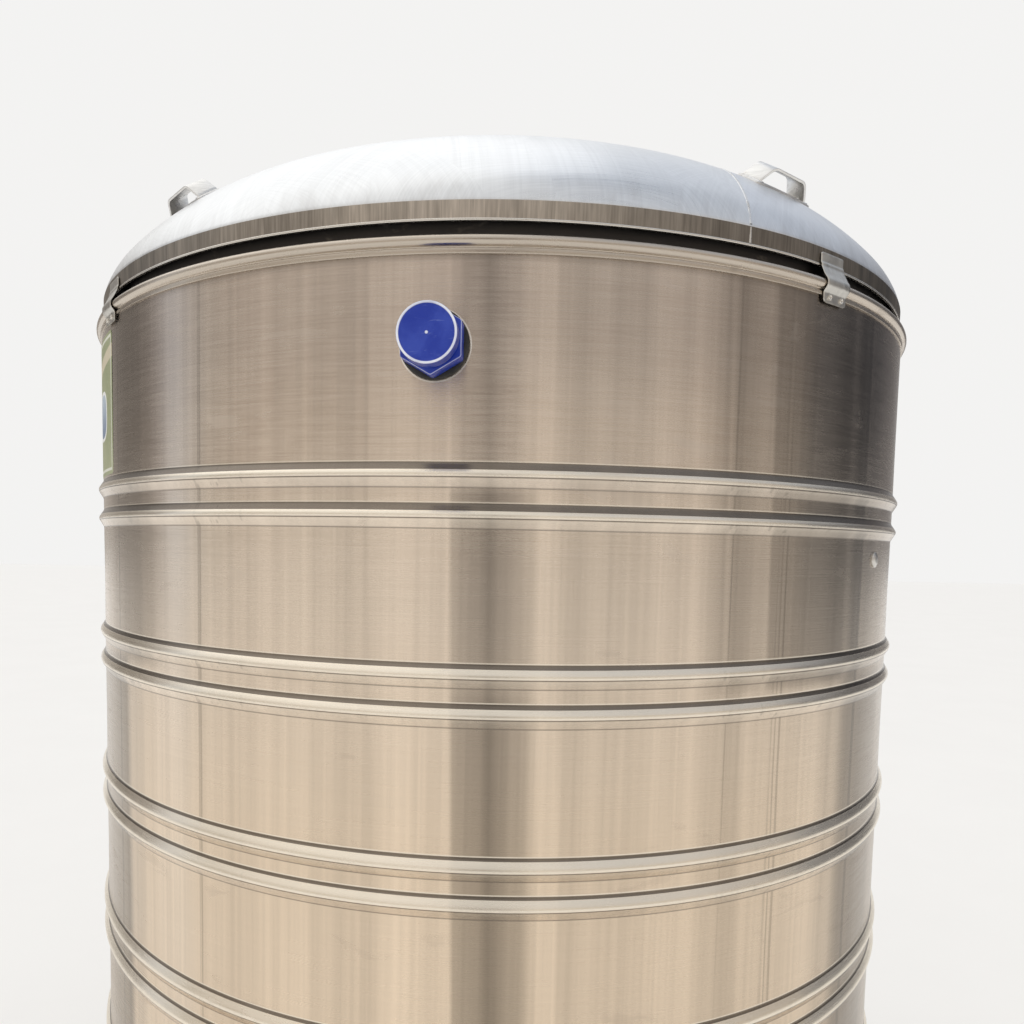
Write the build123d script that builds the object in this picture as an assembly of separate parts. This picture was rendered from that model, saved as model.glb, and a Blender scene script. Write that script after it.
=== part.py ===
from build123d import *
import math
import os

os.makedirs("parts", exist_ok=True)

# Upright cylindrical water tank in thin stainless sheet, millimetres.
# Origin: centre of the base on the floor, +Z up, the front faces -Y.
# Azimuths are counted from the front (-Y) towards +X, in degrees.

# ---- driving dimensions -------------------------------------------------
wall_radius = 600.0          # outside of the plain wall
wall_sheet = 1.0             # wall sheet thickness
wall_bottom = 28.0           # wall sheet starts above the foot roll
wall_top = 1767.0            # wall sheet ends under the rim
stave_angle = 45.0           # each wall segment spans an eighth of a turn
slit = 0.024                 # half of the angular slit between ring segments

bead_out = 6.0               # how far a formed bead stands out
bead_half = 12.0             # half height of one bead
bead_crest = 1.5             # half width of the crest
bead_pitch = 38.5            # between the two beads of a pair
pair_heights = [230.5, 417.5, 604.5, 791.5, 978.5, 1165.8, 1354.8, 1545.8]

foot_inner = 594.0           # inside of the foot roll
foot_outer = 606.0           # outside of the foot roll
base_sheet = 1.5             # floor sheet thickness

rim_top = 1784.0             # top of the rim roll
rim_groove = 1773.0          # groove between the hem band and the roll
rim_radius = 606.0           # outside of the rim roll

skirt_radius = 597.0         # outside of the lid's skirt
skirt_bottom = 1797.5
skirt_top = 1817.0           # the fold between skirt and dome
skirt_sheet = 1.0
roof_sheet = 1.0
edge_slope = 75.0            # dome slope at the fold
edge_arc = 95.6              # arc radius next to the fold
edge_end_slope = 50.5
knuckle_arc = 323.5          # knuckle radius
crown_start_radius = 450.0
crown_slope = 22.0           # slope where the crown begins
spigot_radius = 588.0        # outside of the locating ring under the lid
spigot_bottom = 1774.0
seam_x = 246.0               # the dome's chord weld
seam_width = 3.0

lug_azimuths = {"right_front": 37.2, "right_back": 132.7, "left_back": 217.2, "left_front": -47.3}
lug_radius = 515.0
lug_length = 88.0
lug_height = 17.0
lug_inset = 14.0
lug_width = 28.0
lug_sheet = 3.0
lug_plate_sheet = 2.0

clip_azimuths = {"right_front": 36.0, "right_back": 128.5, "left_back": 216.0, "left_front": -51.5}
clip_width = 42.0
clip_sheet = 1.5
clip_bolt_spacing = 21.0
clip_bolt_height = 1765.2

inlet_azimuth = -5.6
inlet_height = 1684.8
outlet_azimuth = -5.6
outlet_height = 112.0
socket_bore = 24.0           # bore of a socket, for a one and a half inch thread
socket_outer = 29.5
gasket_radius = 33.0
plug_hex = 32.5              # circumradius of the plug's hexagon
plug_disc = 27.5             # radius of the plug's round head
plug_face = 45.0             # front of the round head from the wall

stud_azimuth = 49.9
stud_height = 1491.0
label_span = (-66.6, -52.3)
label_heights = (1580.0, 1756.0)


# ---- helpers ------------------------------------------------------------
def turn_face(face, az0=0.0, az1=360.0):
    solid = revolve(face, axis=Axis.Z, revolution_arc=az1 - az0)
    return Rotation(0, 0, az0 - 90.0) * solid


def outline(points):
    """Closed face in the XZ plane from (radius, height) points."""
    return make_face(Polyline([(r, 0, z) for r, z in points], close=True))


def ring_segments(points):
    """A ring as eight segments with hairline slits, in line with the wall segments."""
    face = outline(points)
    return [turn_face(face, i * stave_angle + slit, (i + 1) * stave_angle - slit) for i in range(8)]


def at(azimuth, radius, height):
    """Frame on a circle: local X outward, local Y tangential, local Z up."""
    a = math.radians(azimuth)
    return Location((radius * math.sin(a), -radius * math.cos(a), height), (0, 0, azimuth - 90.0))


def save(shape, node):
    if isinstance(shape, list):
        shape = Compound(children=shape)
    export_step(shape, "parts/%s.step" % node)


def disc_tool(radius, start, length):
    """Round bar along local X."""
    return Pos(start, 0, 0) * extrude(Plane.YZ * Circle(radius), amount=length)


# ---- wall ---------------------------------------------------------------
line = [(0.0, wall_bottom)]
for centre in pair_heights:
    for zc in (centre - bead_pitch / 2, centre + bead_pitch / 2):
        line += [(0.0, zc - bead_half), (0.8, zc - bead_half + 2.2), (bead_out - 1.2, zc - bead_crest * 1.7),
                 (bead_out, zc - bead_crest * 0.5), (bead_out, zc + bead_crest * 0.5),
                 (bead_out - 1.2, zc + bead_crest * 1.7), (0.8, zc + bead_half - 2.2), (0.0, zc + bead_half)]
line.append((0.0, wall_top))
wall_face = outline([(wall_radius + r, z) for r, z in line] + [(wall_radius - wall_sheet + r, z) for r, z in reversed(line)])

stave_names = ["wall_front_right", "wall_right_front", "wall_right_back", "wall_back_right",
               "wall_back_left", "wall_left_back", "wall_left_front", "wall_front_left"]
staves = {name: turn_face(wall_face, i * stave_angle, (i + 1) * stave_angle) for i, name in enumerate(stave_names)}
inlet_place = at(inlet_azimuth, wall_radius, inlet_height)
outlet_place = at(outlet_azimuth, wall_radius, outlet_height)
for place in (inlet_place, outlet_place):
    staves["wall_front_left"] = staves["wall_front_left"] - place * disc_tool(socket_bore, -20, 40)

# ---- foot and floor -----------------------------------------------------
foot_ring = ring_segments([(foot_inner, 0), (foot_outer - 3, 0), (foot_outer - 0.8, 1.8), (foot_outer, 4.5), (foot_outer, 7.5),
                           (foot_outer - 0.8, 10.2), (foot_outer - 3, 12), (wall_radius + 1.5, 13), (wall_radius + 1.5, wall_bottom),
                           (wall_radius - 1, wall_bottom), (wall_radius - 1, 12), (foot_inner, 9)])
base_plate = extrude(Circle(foot_inner), amount=base_sheet)

# ---- rim ----------------------------------------------------------------
rim_ring = ring_segments([(wall_radius - 1, wall_top), (wall_radius + 1.5, wall_top), (wall_radius + 1.5, rim_groove - 0.6),
                          (wall_radius + 2.2, rim_groove), (rim_radius - 2.2, rim_groove + 0.8), (rim_radius - 0.6, rim_groove + 2.8),
                          (rim_radius, rim_groove + 5.3), (rim_radius - 0.6, rim_top - 3.0), (rim_radius - 2.4, rim_top - 0.9),
                          (rim_radius - 5.0, rim_top), (rim_radius - 7.6, rim_top - 0.9), (rim_radius - 9.2, rim_top - 3.0),
                          (rim_radius - 9.8, rim_groove + 5.3), (rim_radius - 9.0, rim_groove + 2.8), (wall_radius - 1, rim_groove)])

# ---- lid ----------------------------------------------------------------
def arc_points(offset):
    """Dome line (radius, height) at a normal offset from its outer face, with arc mid points."""
    s, c = (lambda a: math.sin(math.radians(a))), (lambda a: math.cos(math.radians(a)))
    e_r, e_z = skirt_radius - edge_arc * s(edge_slope), skirt_top - edge_arc * c(edge_slope)
    # end of the edge arc and the knuckle's centre
    p_r, p_z = e_r + edge_arc * s(edge_end_slope), e_z + edge_arc * c(edge_end_slope)
    k_r, k_z = p_r - knuckle_arc * s(edge_end_slope), p_z - knuckle_arc * c(edge_end_slope)
    k_end = math.degrees(math.asin((crown_start_radius - k_r) / knuckle_arc))
    q_r, q_z = crown_start_radius, k_z + knuckle_arc * c(k_end)
    crown = q_r / s(k_end)
    c_z = q_z - crown * c(k_end)

    def on(cr, cz, rad, a):
        return (cr + (rad + offset) * s(a), cz + (rad + offset) * c(a))
    return {"edge": [on(e_r, e_z, edge_arc, a) for a in (edge_slope, (edge_slope + edge_end_slope) / 2, edge_end_slope)],
            "knuckle": [on(k_r, k_z, knuckle_arc, a) for a in (edge_end_slope, (edge_end_slope + k_end) / 2, k_end)],
            "crown": [on(0, c_z, crown, a) for a in (k_end, k_end / 2, 0.0)]}


def dome_band(outer_offset, inner_offset):
    """Shell between two normal offsets of the dome's outer face."""
    o, i = arc_points(outer_offset), arc_points(inner_offset)

    def arc(p):
        return ThreePointArc(*[(r, 0, z) for r, z in p])
    edges = [arc(o["edge"]), arc(o["knuckle"]), arc(o["crown"]), Line((0, 0, o["crown"][2][1]), (0, 0, i["crown"][2][1])),
             arc(i["crown"][::-1]), arc(i["knuckle"][::-1]), arc(i["edge"][::-1]),
             Line((i["edge"][0][0], 0, i["edge"][0][1]), (o["edge"][0][0], 0, o["edge"][0][1]))]
    return revolve(make_face(edges), axis=Axis.Z)


def dome_segments():
    """The dome sheet as rings of eight segments with hairline slits between them."""
    o, i = arc_points(0.0), arc_points(-roof_sheet)
    gap = 0.05
    segments = []
    for part in ("edge", "knuckle", "crown"):
        (a, b, c), (d, e, f) = o[part], i[part]

        def along(p, q, amount):
            n = math.dist(p, q)
            return (p[0] + (q[0] - p[0]) * amount / n, p[1] + (q[1] - p[1]) * amount / n)
        a, d = (a, d) if part == "edge" else (along(a, b, gap), along(d, e, gap))
        c, f = (c, f) if part == "crown" else (along(c, b, gap), along(f, e, gap))
        face = make_face([ThreePointArc(*[(r, 0, z) for r, z in (a, b, c)]), Line((c[0], 0, c[1]), (f[0], 0, f[1])),
                          ThreePointArc(*[(r, 0, z) for r, z in (f, e, d)]), Line((d[0], 0, d[1]), (a[0], 0, a[1]))])
        segments += [turn_face(face, n * stave_angle + slit, (n + 1) * stave_angle - slit) for n in range(8)]
    return segments


main_cut = Pos(seam_x - seam_width / 2 + 500, 0, 2000) * Box(1000, 1400, 1000)
side_cut = Pos(seam_x + seam_width / 2 + 500, 0, 2000) * Box(1000, 1400, 1000)
roof_main_sheet, roof_side_sheet = [], []
for segment in dome_segments():
    for piece, sheet in ((segment - main_cut, roof_main_sheet), (segment & side_cut, roof_side_sheet)):
        sheet += [s for s in piece.solids() if s.volume > 1.0] if piece else []
roof_weld = dome_band(0.8, -roof_sheet) & Pos(seam_x, 0, 2000) * Box(seam_width, 1400, 1000)



def under_dome(r):
    """Height of the dome's inner face at a radius near its edge."""
    s, c = math.sin(math.radians(edge_slope)), math.cos(math.radians(edge_slope))
    cr, cz, rad = skirt_radius - edge_arc * s, skirt_top - edge_arc * c, edge_arc - roof_sheet
    return cz + math.sqrt(rad ** 2 - (r - cr) ** 2)


roof_skirt = ring_segments([(skirt_radius, skirt_bottom + 3), (skirt_radius, skirt_top - 0.3), (skirt_radius - skirt_sheet, skirt_top - 0.3),
                            (skirt_radius - skirt_sheet, skirt_bottom + 3)])
roof_skirt_hem = ring_segments([(skirt_radius - 2.0, skirt_bottom), (skirt_radius + 0.4, skirt_bottom), (skirt_radius + 1.1, skirt_bottom + 0.7),
                                (skirt_radius + 1.1, skirt_bottom + 2.3), (skirt_radius + 0.4, skirt_bottom + 3), (skirt_radius - 2.0, skirt_bottom + 3)])
roof_locating_ring = ring_segments([(spigot_radius, spigot_bottom), (spigot_radius, under_dome(spigot_radius) - 0.2),
                                    (spigot_radius - 1.2, under_dome(spigot_radius) - 0.2), (spigot_radius - 1.2, spigot_bottom)])

# ---- lifting lugs -------------------------------------------------------
def dome_at(radius):
    """Height and slope of the dome's outer face."""
    s, c = (lambda a: math.sin(math.radians(a))), (lambda a: math.cos(math.radians(a)))
    p_r = skirt_radius - edge_arc * (s(edge_slope) - s(edge_end_slope))
    p_z = skirt_top + edge_arc * (c(edge_end_slope) - c(edge_slope))
    k_r, k_z = p_r - knuckle_arc * s(edge_end_slope), p_z - knuckle_arc * c(edge_end_slope)
    return k_z + math.sqrt(knuckle_arc ** 2 - (radius - k_r) ** 2), math.degrees(math.asin((radius - k_r) / knuckle_arc))


lug_z, lug_slope = dome_at(lug_radius)
plate_band = dome_band(lug_plate_sheet, 0.0)
plate_top = revolve(make_face([ThreePointArc(*[(r, 0, z) for r, z in arc_points(lug_plate_sheet)["edge"]]),
                               ThreePointArc(*[(r, 0, z) for r, z in arc_points(lug_plate_sheet)["knuckle"]]),
                               ThreePointArc(*[(r, 0, z) for r, z in arc_points(lug_plate_sheet)["crown"]]),
                               Polyline((0, 0, arc_points(lug_plate_sheet)["crown"][2][1]), (0, 0, 1500),
                                        (arc_points(lug_plate_sheet)["edge"][0][0], 0, 1500),
                                        (arc_points(lug_plate_sheet)["edge"][0][0], 0, arc_points(lug_plate_sheet)["edge"][0][1]))]), axis=Axis.Z)
hl, tt, rise = lug_length / 2, lug_sheet, lug_height + lug_plate_sheet
strap_outline = Polyline((0, -hl, -8), (0, -hl, 0), (0, -hl + lug_inset, rise), (0, hl - lug_inset, rise), (0, hl, 0), (0, hl, -8),
                         (0, hl - tt * 1.25, -8), (0, hl - tt * 1.25, 0), (0, hl - lug_inset - tt * 0.6, rise - tt),
                         (0, -hl + lug_inset + tt * 0.6, rise - tt), (0, -hl + tt * 1.25, 0), (0, -hl + tt * 1.25, -8), close=True)
strap_bar = extrude(make_face(strap_outline), amount=lug_width / 2, dir=(1, 0, 0), both=True)
lugs, plates = {}, {}
for name, az in lug_azimuths.items():
    place = at(az, lug_radius, lug_z) * Location((0, 0, 0), (0, lug_slope, 0))
    lugs[name] = place * strap_bar - plate_top
    plates[name] = plate_band & place * Box(lug_width + 8, lug_length + 12, 40)

# ---- lid clips ----------------------------------------------------------
t = clip_sheet
sk, hm = skirt_radius - wall_radius + 0.05, skirt_radius - wall_radius + 1.2
inside = [(sk, skirt_top - 5), (sk, skirt_bottom + 4.0), (hm, skirt_bottom + 3.2), (hm, skirt_bottom - 0.5), (3.0, rim_top + 2.0),
          (6.3, rim_top - 2.2), (6.3, rim_groove + 3.0), (2.3, rim_groove - 1.8), (1.7, rim_groove - 3.5), (1.7, clip_bolt_height - 6)]
outside = [(sk + t, skirt_top - 5), (sk + t, skirt_bottom + 4.6), (hm + t, skirt_bottom + 3.6), (hm + t, skirt_bottom + 0.2), (3.0 + t, rim_top + 3.2),
           (6.3 + t, rim_top - 1.6), (6.3 + t, rim_groove + 2.4), (2.3 + t + 0.6, rim_groove - 2.0), (1.7 + t, rim_groove - 4.0), (1.7 + t, clip_bolt_height - 6)]
clip_face = make_face(Polyline([(r, 0, z) for r, z in inside + outside[::-1]], close=True))
clip_bar = extrude(clip_face, amount=clip_width / 2, dir=(0, 1, 0), both=True)
clips, clip_bolts = {}, []
# the plate is flat across its width, so it stands off by the sagitta of the wall
sagitta = 0.40
for name, az in clip_azimuths.items():
    clips[name] = at(az, wall_radius, 0) * Pos(sagitta, 0, 0) * clip_bar
    for side in (-0.5, 0.5):
        clip_bolts.append(at(az, wall_radius, clip_bolt_height) * Pos(0, side * clip_bolt_spacing, 0) * disc_tool(3.2, sagitta + 1.7 + t, 1.8))

# ---- sockets ------------------------------------------------------------
wall_outer_round = Cylinder(wall_radius, 5000)
wall_inner_round = Cylinder(wall_radius - wall_sheet, 5000)


def tube(outer_r, inner_r, start, length):
    return Pos(start, 0, 0) * extrude(Plane.YZ * (Circle(outer_r) - Circle(inner_r)), amount=length)


inlet_gasket = inlet_place * tube(gasket_radius, socket_bore, -4, 10) - wall_outer_round
inlet_socket = inlet_place * tube(socket_outer, socket_bore, -32, 32) & wall_inner_round
hexagon = Pos(6, 0, 0) * extrude(Plane.YZ * RegularPolygon(plug_hex, 6, rotation=90), amount=18)
inlet_plug = inlet_place * (disc_tool(socket_bore - 0.5, -26, 32) + hexagon + disc_tool(plug_disc - 4, 24, 5)
                            + disc_tool(plug_disc, 29, plug_face - 29))
inlet_plug = inlet_plug - inlet_place * disc_tool(socket_bore - 4, -27, 40)
outlet_socket = outlet_place * tube(socket_outer, socket_bore, -4, 46) - wall_outer_round
outlet_collar = outlet_place * tube(39.0, socket_outer, -6, 20) & (Cylinder(wall_radius + 2.5, 5000) - wall_outer_round)

# ---- small parts --------------------------------------------------------
side_stud = at(stud_azimuth, wall_radius, stud_height) * (disc_tool(9.5, -1, 3.2) + disc_tool(7.0, 2.2, 1.2)) - wall_outer_round
side_label = turn_face(outline([(wall_radius, label_heights[0]), (wall_radius + 0.4, label_heights[0]),
                                (wall_radius + 0.4, label_heights[1]), (wall_radius, label_heights[1])]), *label_span)

# ---- write --------------------------------------------------------------
for name, solid in staves.items():
    save(solid, name)
save(foot_ring, "foot_ring")
save(base_plate, "base_plate")
save(rim_ring, "rim_ring")
save(roof_skirt, "roof_skirt")
save(roof_skirt_hem, "roof_skirt_hem")
save(roof_main_sheet, "roof_main_sheet")
save(roof_side_sheet, "roof_side_sheet")
save(roof_weld, "roof_weld")
save(roof_locating_ring, "roof_locating_ring")
for name in lugs:
    save(lugs[name], "lifting_lug_" + name)
    save(plates[name], "lug_plate_" + name)
for name in clips:
    save(clips[name], "roof_clip_" + name)
save(clip_bolts, "clip_bolts")
save(inlet_gasket, "inlet_gasket")
save(inlet_socket, "inlet_socket")
save(inlet_plug, "inlet_plug")
save(outlet_socket, "outlet_socket")
save(outlet_collar, "outlet_collar")
save(side_stud, "side_stud")
save(side_label, "side_label")
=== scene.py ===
import math

import bmesh
import bpy
import numpy as np
from mathutils import Matrix, Vector, noise


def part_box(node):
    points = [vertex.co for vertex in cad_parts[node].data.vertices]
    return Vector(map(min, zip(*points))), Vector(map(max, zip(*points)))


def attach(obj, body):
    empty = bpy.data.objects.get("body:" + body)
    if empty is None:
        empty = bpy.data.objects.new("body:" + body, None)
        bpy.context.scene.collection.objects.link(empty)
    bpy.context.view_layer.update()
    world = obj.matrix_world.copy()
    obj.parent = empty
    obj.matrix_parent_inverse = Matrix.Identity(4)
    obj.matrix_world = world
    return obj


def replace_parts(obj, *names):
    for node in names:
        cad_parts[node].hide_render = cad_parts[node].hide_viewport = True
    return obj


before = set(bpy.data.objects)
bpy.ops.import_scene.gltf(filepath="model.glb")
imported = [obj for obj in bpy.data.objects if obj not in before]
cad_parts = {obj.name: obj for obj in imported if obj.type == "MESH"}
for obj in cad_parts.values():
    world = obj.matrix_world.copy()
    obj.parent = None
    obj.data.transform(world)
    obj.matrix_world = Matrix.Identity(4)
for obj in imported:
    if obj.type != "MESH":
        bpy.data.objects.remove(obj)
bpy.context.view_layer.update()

# Upright stainless water tank. Metres, +Z up, the front faces -Y.
# Azimuths are counted from the front (-Y) towards +X, in degrees.


# ---- sizes read from the frame -------------------------------------------
def zspan(node):
    lo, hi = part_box(node)
    return lo[2], hi[2]


def spot(node):
    """Azimuth in degrees, radius of the box centre, height of the box centre."""
    lo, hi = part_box(node)
    cx, cy, cz = ((lo[i] + hi[i]) / 2 for i in range(3))
    return math.degrees(math.atan2(cx, -cy)), math.hypot(cx, cy), cz


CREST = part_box("wall_right_front")[1][0]          # outside of the beads
BEAD = 0.006
R = CREST - BEAD                                  # outside of the plain wall
WALL_Z0, WALL_Z1 = zspan("wall_front_right")
FOOT_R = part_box("foot_ring")[1][0]
FOOT_Z1 = zspan("foot_ring")[1]
RIM_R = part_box("rim_ring")[1][0]
RIM_Z0, RIM_Z1 = zspan("rim_ring")
SKIRT_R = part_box("roof_skirt")[1][0]
SKIRT_Z0, SKIRT_Z1 = zspan("roof_skirt")
HEM_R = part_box("roof_skirt_hem")[1][0]
HEM_Z0, HEM_Z1 = zspan("roof_skirt_hem")
APEX_Z = zspan("roof_main_sheet")[1]
RING_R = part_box("roof_locating_ring")[1][0]
RING_Z0, RING_Z1 = zspan("roof_locating_ring")
WELD_X = sum(b[0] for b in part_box("roof_weld")) / 2
FOLD_Z = SKIRT_Z1 + 0.0003

BEAD_PITCH = 0.0385
PAIRS = [0.2305, 0.4175, 0.6045, 0.7915, 0.9785, 1.1658, 1.3548, 1.5458]


# ---- mesh helpers ----------------------------------------------------------
def polar(az, r, z):
    a = math.radians(az)
    return Vector((r * math.sin(a), -r * math.cos(a), z))


def frame_at(az, r, z, tilt=0.0):
    """Local X outward, Y tangential, Z up, tipped outward by tilt degrees."""
    return Matrix.Translation(polar(az, r, z)) @ Matrix.Rotation(math.radians(az - 90), 4, "Z") @ Matrix.Rotation(math.radians(tilt), 4, "Y")


def make(name, verts, faces, mat, sharp=32.0, matrix=None, weld=None):
    me = bpy.data.meshes.new(name)
    me.from_pydata([tuple(v) for v in verts], [], faces)
    bm = bmesh.new()
    bm.from_mesh(me)
    if weld:
        bmesh.ops.remove_doubles(bm, verts=bm.verts, dist=weld)
    if matrix is not None:
        bmesh.ops.transform(bm, matrix=matrix, verts=bm.verts)
    bm.normal_update()
    bm.to_mesh(me)
    bm.free()
    me.validate()
    for p in me.polygons:
        p.use_smooth = True
    if sharp:
        me.set_sharp_from_angle(angle=math.radians(sharp))
    o = bpy.data.objects.new(name, me)
    bpy.context.scene.collection.objects.link(o)
    me.materials.append(mat)
    return o


def lathe(prof, n, closed=False, shape=None):
    """Vertices and faces of a turned profile of (radius, height); shape(az, r, z) may move each point."""
    verts, faces, k = [], [], len(prof)
    for i in range(n):
        az = 360.0 * i / n
        for r, z in prof:
            if shape:
                r, z = shape(az, r, z)
            verts.append(polar(az, r, z))
    last = k if closed else k - 1
    for i in range(n):
        a, b = i * k, ((i + 1) % n) * k
        for j in range(last):
            j2 = (j + 1) % k
            faces.append((a + j, b + j, b + j2, a + j2))
    return verts, faces


def round_line(points, radius, steps=4):
    """A poly line in 2-D with its inner corners rounded."""
    out = [points[0]]
    for p, q, s in zip(points, points[1:], points[2:]):
        p, q, s = Vector(p), Vector(q), Vector(s)
        a, b = (p - q), (s - q)
        t = min(radius, a.length * 0.45, b.length * 0.45)
        a, b = q + a.normalized() * t, q + b.normalized() * t
        for i in range(steps + 1):
            f = i / steps
            out.append(tuple(a * (1 - f) ** 2 + q * 2 * f * (1 - f) + b * f * f))
    out.append(points[-1])
    return [tuple(p) for p in out]


def dome_arcs():
    s, c = (lambda a: math.sin(math.radians(a))), (lambda a: math.cos(math.radians(a)))
    e_r, e_z = SKIRT_R - 0.0956 * s(75.0), FOLD_Z - 0.0956 * c(75.0)
    p_r, p_z = e_r + 0.0956 * s(50.5), e_z + 0.0956 * c(50.5)
    k_r, k_z = p_r - 0.3235 * s(50.5), p_z - 0.3235 * c(50.5)
    k_end = math.degrees(math.asin((0.450 - k_r) / 0.3235))
    q_z = k_z + 0.3235 * c(k_end)
    crown = 0.450 / s(k_end)
    return [(e_r, e_z, 0.0956, 75.0, 50.5), (k_r, k_z, 0.3235, 50.5, k_end), (0.0, q_z - crown * c(k_end), crown, k_end, 0.0)]


ARCS = dome_arcs()


def dome_point(r, offset=0.0):
    """Height and slope (degrees) of the dome at a radius, offset along its normal."""
    for cr, cz, rad, a0, a1 in ARCS:
        if r >= cr + rad * math.sin(math.radians(a1)) - 1e-9 or a1 == 0.0:
            slope = math.degrees(math.asin(min(1.0, (r - cr) / rad)))
            return cz + rad * math.cos(math.radians(slope)), slope
    return FOLD_Z, 75.0


def on_dome(r, offset):
    """Radius and height offset along the dome's normal."""
    z, slope = dome_point(min(r, SKIRT_R - 1e-6))
    return r + offset * math.sin(math.radians(slope)), z + offset * math.cos(math.radians(slope))


def smooth(x, a, b):
    t = min(1.0, max(0.0, (x - a) / (b - a)))
    return t * t * (3 - 2 * t)


# ---- materials --------------------------------------------------------------
class Mat:
    """Small helper that writes shader nodes."""

    def __init__(self, name, base=(0.5, 0.5, 0.5), metallic=0.0, rough=0.5, **sockets):
        self.m = bpy.data.materials.new(name)
        self.m.use_nodes = True
        self.t = self.m.node_tree
        self.t.nodes.clear()
        self.out = self.t.nodes.new("ShaderNodeOutputMaterial")
        self.b = self.t.nodes.new("ShaderNodeBsdfPrincipled")
        self.t.links.new(self.b.outputs["BSDF"], self.out.inputs["Surface"])
        self.b.inputs["Base Color"].default_value = (*base, 1)
        self.b.inputs["Metallic"].default_value = metallic
        self.b.inputs["Roughness"].default_value = rough
        for k, v in sockets.items():
            self.b.inputs[k.replace("_", " ")].default_value = v
        tc = self.t.nodes.new("ShaderNodeTexCoord")
        self.obj = tc.outputs["Object"]
        self.m.diffuse_color = (*base, 1)

    def put(self, socket, value):
        if isinstance(value, bpy.types.NodeSocket):
            self.t.links.new(value, socket)
        elif isinstance(value, (tuple, list)) and len(value) == 3 and socket.type == "RGBA":
            socket.default_value = (*value, 1)
        else:
            socket.default_value = value

    def math(self, op, a, b=0.5, c=0.5, clamp=False):
        n = self.t.nodes.new("ShaderNodeMath")
        n.operation, n.use_clamp = op, clamp
        for s, v in zip(n.inputs, (a, b, c)):
            self.put(s, v)
        return n.outputs[0]

    def vec(self, op, a, b):
        n = self.t.nodes.new("ShaderNodeVectorMath")
        n.operation = op
        self.put(n.inputs[0], a)
        self.put(n.inputs[1], b)
        return n.outputs[0]

    def split(self, v):
        n = self.t.nodes.new("ShaderNodeSeparateXYZ")
        self.put(n.inputs[0], v)
        return n.outputs

    def join(self, x, y, z):
        n = self.t.nodes.new("ShaderNodeCombineXYZ")
        for s, v in zip(n.inputs, (x, y, z)):
            self.put(s, v)
        return n.outputs[0]

    def noise(self, scale, detail=2.0, rough=0.5, distortion=0.0, source=None, colour=False):
        n = self.t.nodes.new("ShaderNodeTexNoise")
        n.inputs["Scale"].default_value = 1.0
        n.inputs["Detail"].default_value = detail
        n.inputs["Roughness"].default_value = rough
        n.inputs["Distortion"].default_value = distortion
        self.put(n.inputs["Vector"], self.vec("MULTIPLY", source or self.obj, scale if isinstance(scale, tuple) else (scale,) * 3))
        return n.outputs["Color" if colour else "Fac"]

    def cells(self, scale, source=None, feature="F1", out="Distance", random=1.0):
        n = self.t.nodes.new("ShaderNodeTexVoronoi")
        n.feature = feature
        n.inputs["Scale"].default_value = 1.0
        n.inputs["Randomness"].default_value = random
        self.put(n.inputs["Vector"], self.vec("MULTIPLY", source or self.obj, scale if isinstance(scale, tuple) else (scale,) * 3))
        return n.outputs[out]

    def span(self, v, a, b, c=0.0, d=1.0, kind="SMOOTHSTEP"):
        n = self.t.nodes.new("ShaderNodeMapRange")
        n.interpolation_type = kind
        for s, x in zip(n.inputs, (v, a, b, c, d)):
            self.put(s, x)
        return n.outputs[0]

    def ramp(self, v, stops, kind="EASE"):
        n = self.t.nodes.new("ShaderNodeValToRGB")
        n.color_ramp.interpolation = kind
        els = n.color_ramp.elements
        while len(els) < len(stops):
            els.new(0.5)
        for e, (p, c) in zip(els, stops):
            e.position = p
            e.color = (*c, 1) if isinstance(c, tuple) else (c, c, c, 1)
        self.put(n.inputs[0], v)
        return n.outputs["Color"]

    def mix(self, f, a, b, how="MIX"):
        n = self.t.nodes.new("ShaderNodeMix")
        n.data_type, n.blend_type = "RGBA", how
        self.put(n.inputs["Factor"], f)
        self.put(n.inputs[6], a)
        self.put(n.inputs[7], b)
        return n.outputs[2]

    def grey(self, v):
        return self.join(v, v, v)

    def bump(self, height, strength=0.2, distance=0.001, under=None):
        n = self.t.nodes.new("ShaderNodeBump")
        n.inputs["Strength"].default_value = strength
        n.inputs["Distance"].default_value = distance
        self.put(n.inputs["Height"], height)
        if under is not None:
            self.put(n.inputs["Normal"], under)
        return n.outputs[0]

    def attr(self, name):
        n = self.t.nodes.new("ShaderNodeAttribute")
        n.attribute_name = name
        return n.outputs["Fac"]

    def tangent(self, axis="Z"):
        n = self.t.nodes.new("ShaderNodeTangent")
        n.direction_type = "RADIAL"
        n.axis = axis
        self.put(self.b.inputs["Tangent"], n.outputs[0])

    def base(self, v):
        self.put(self.b.inputs["Base Color"], v)

    def rough(self, v):
        self.put(self.b.inputs["Roughness"], v)

    def normal(self, v):
        self.put(self.b.inputs["Normal"], v)

    def azimuth(self):
        """0..1 round the tank, 0.5 at the front, rising towards +X."""
        x, y, z = self.split(self.obj)
        a = self.math("ARCTAN2", x, self.math("MULTIPLY", y, -1.0))
        return self.math("MULTIPLY_ADD", a, 1 / (2 * math.pi), 0.5)


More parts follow.
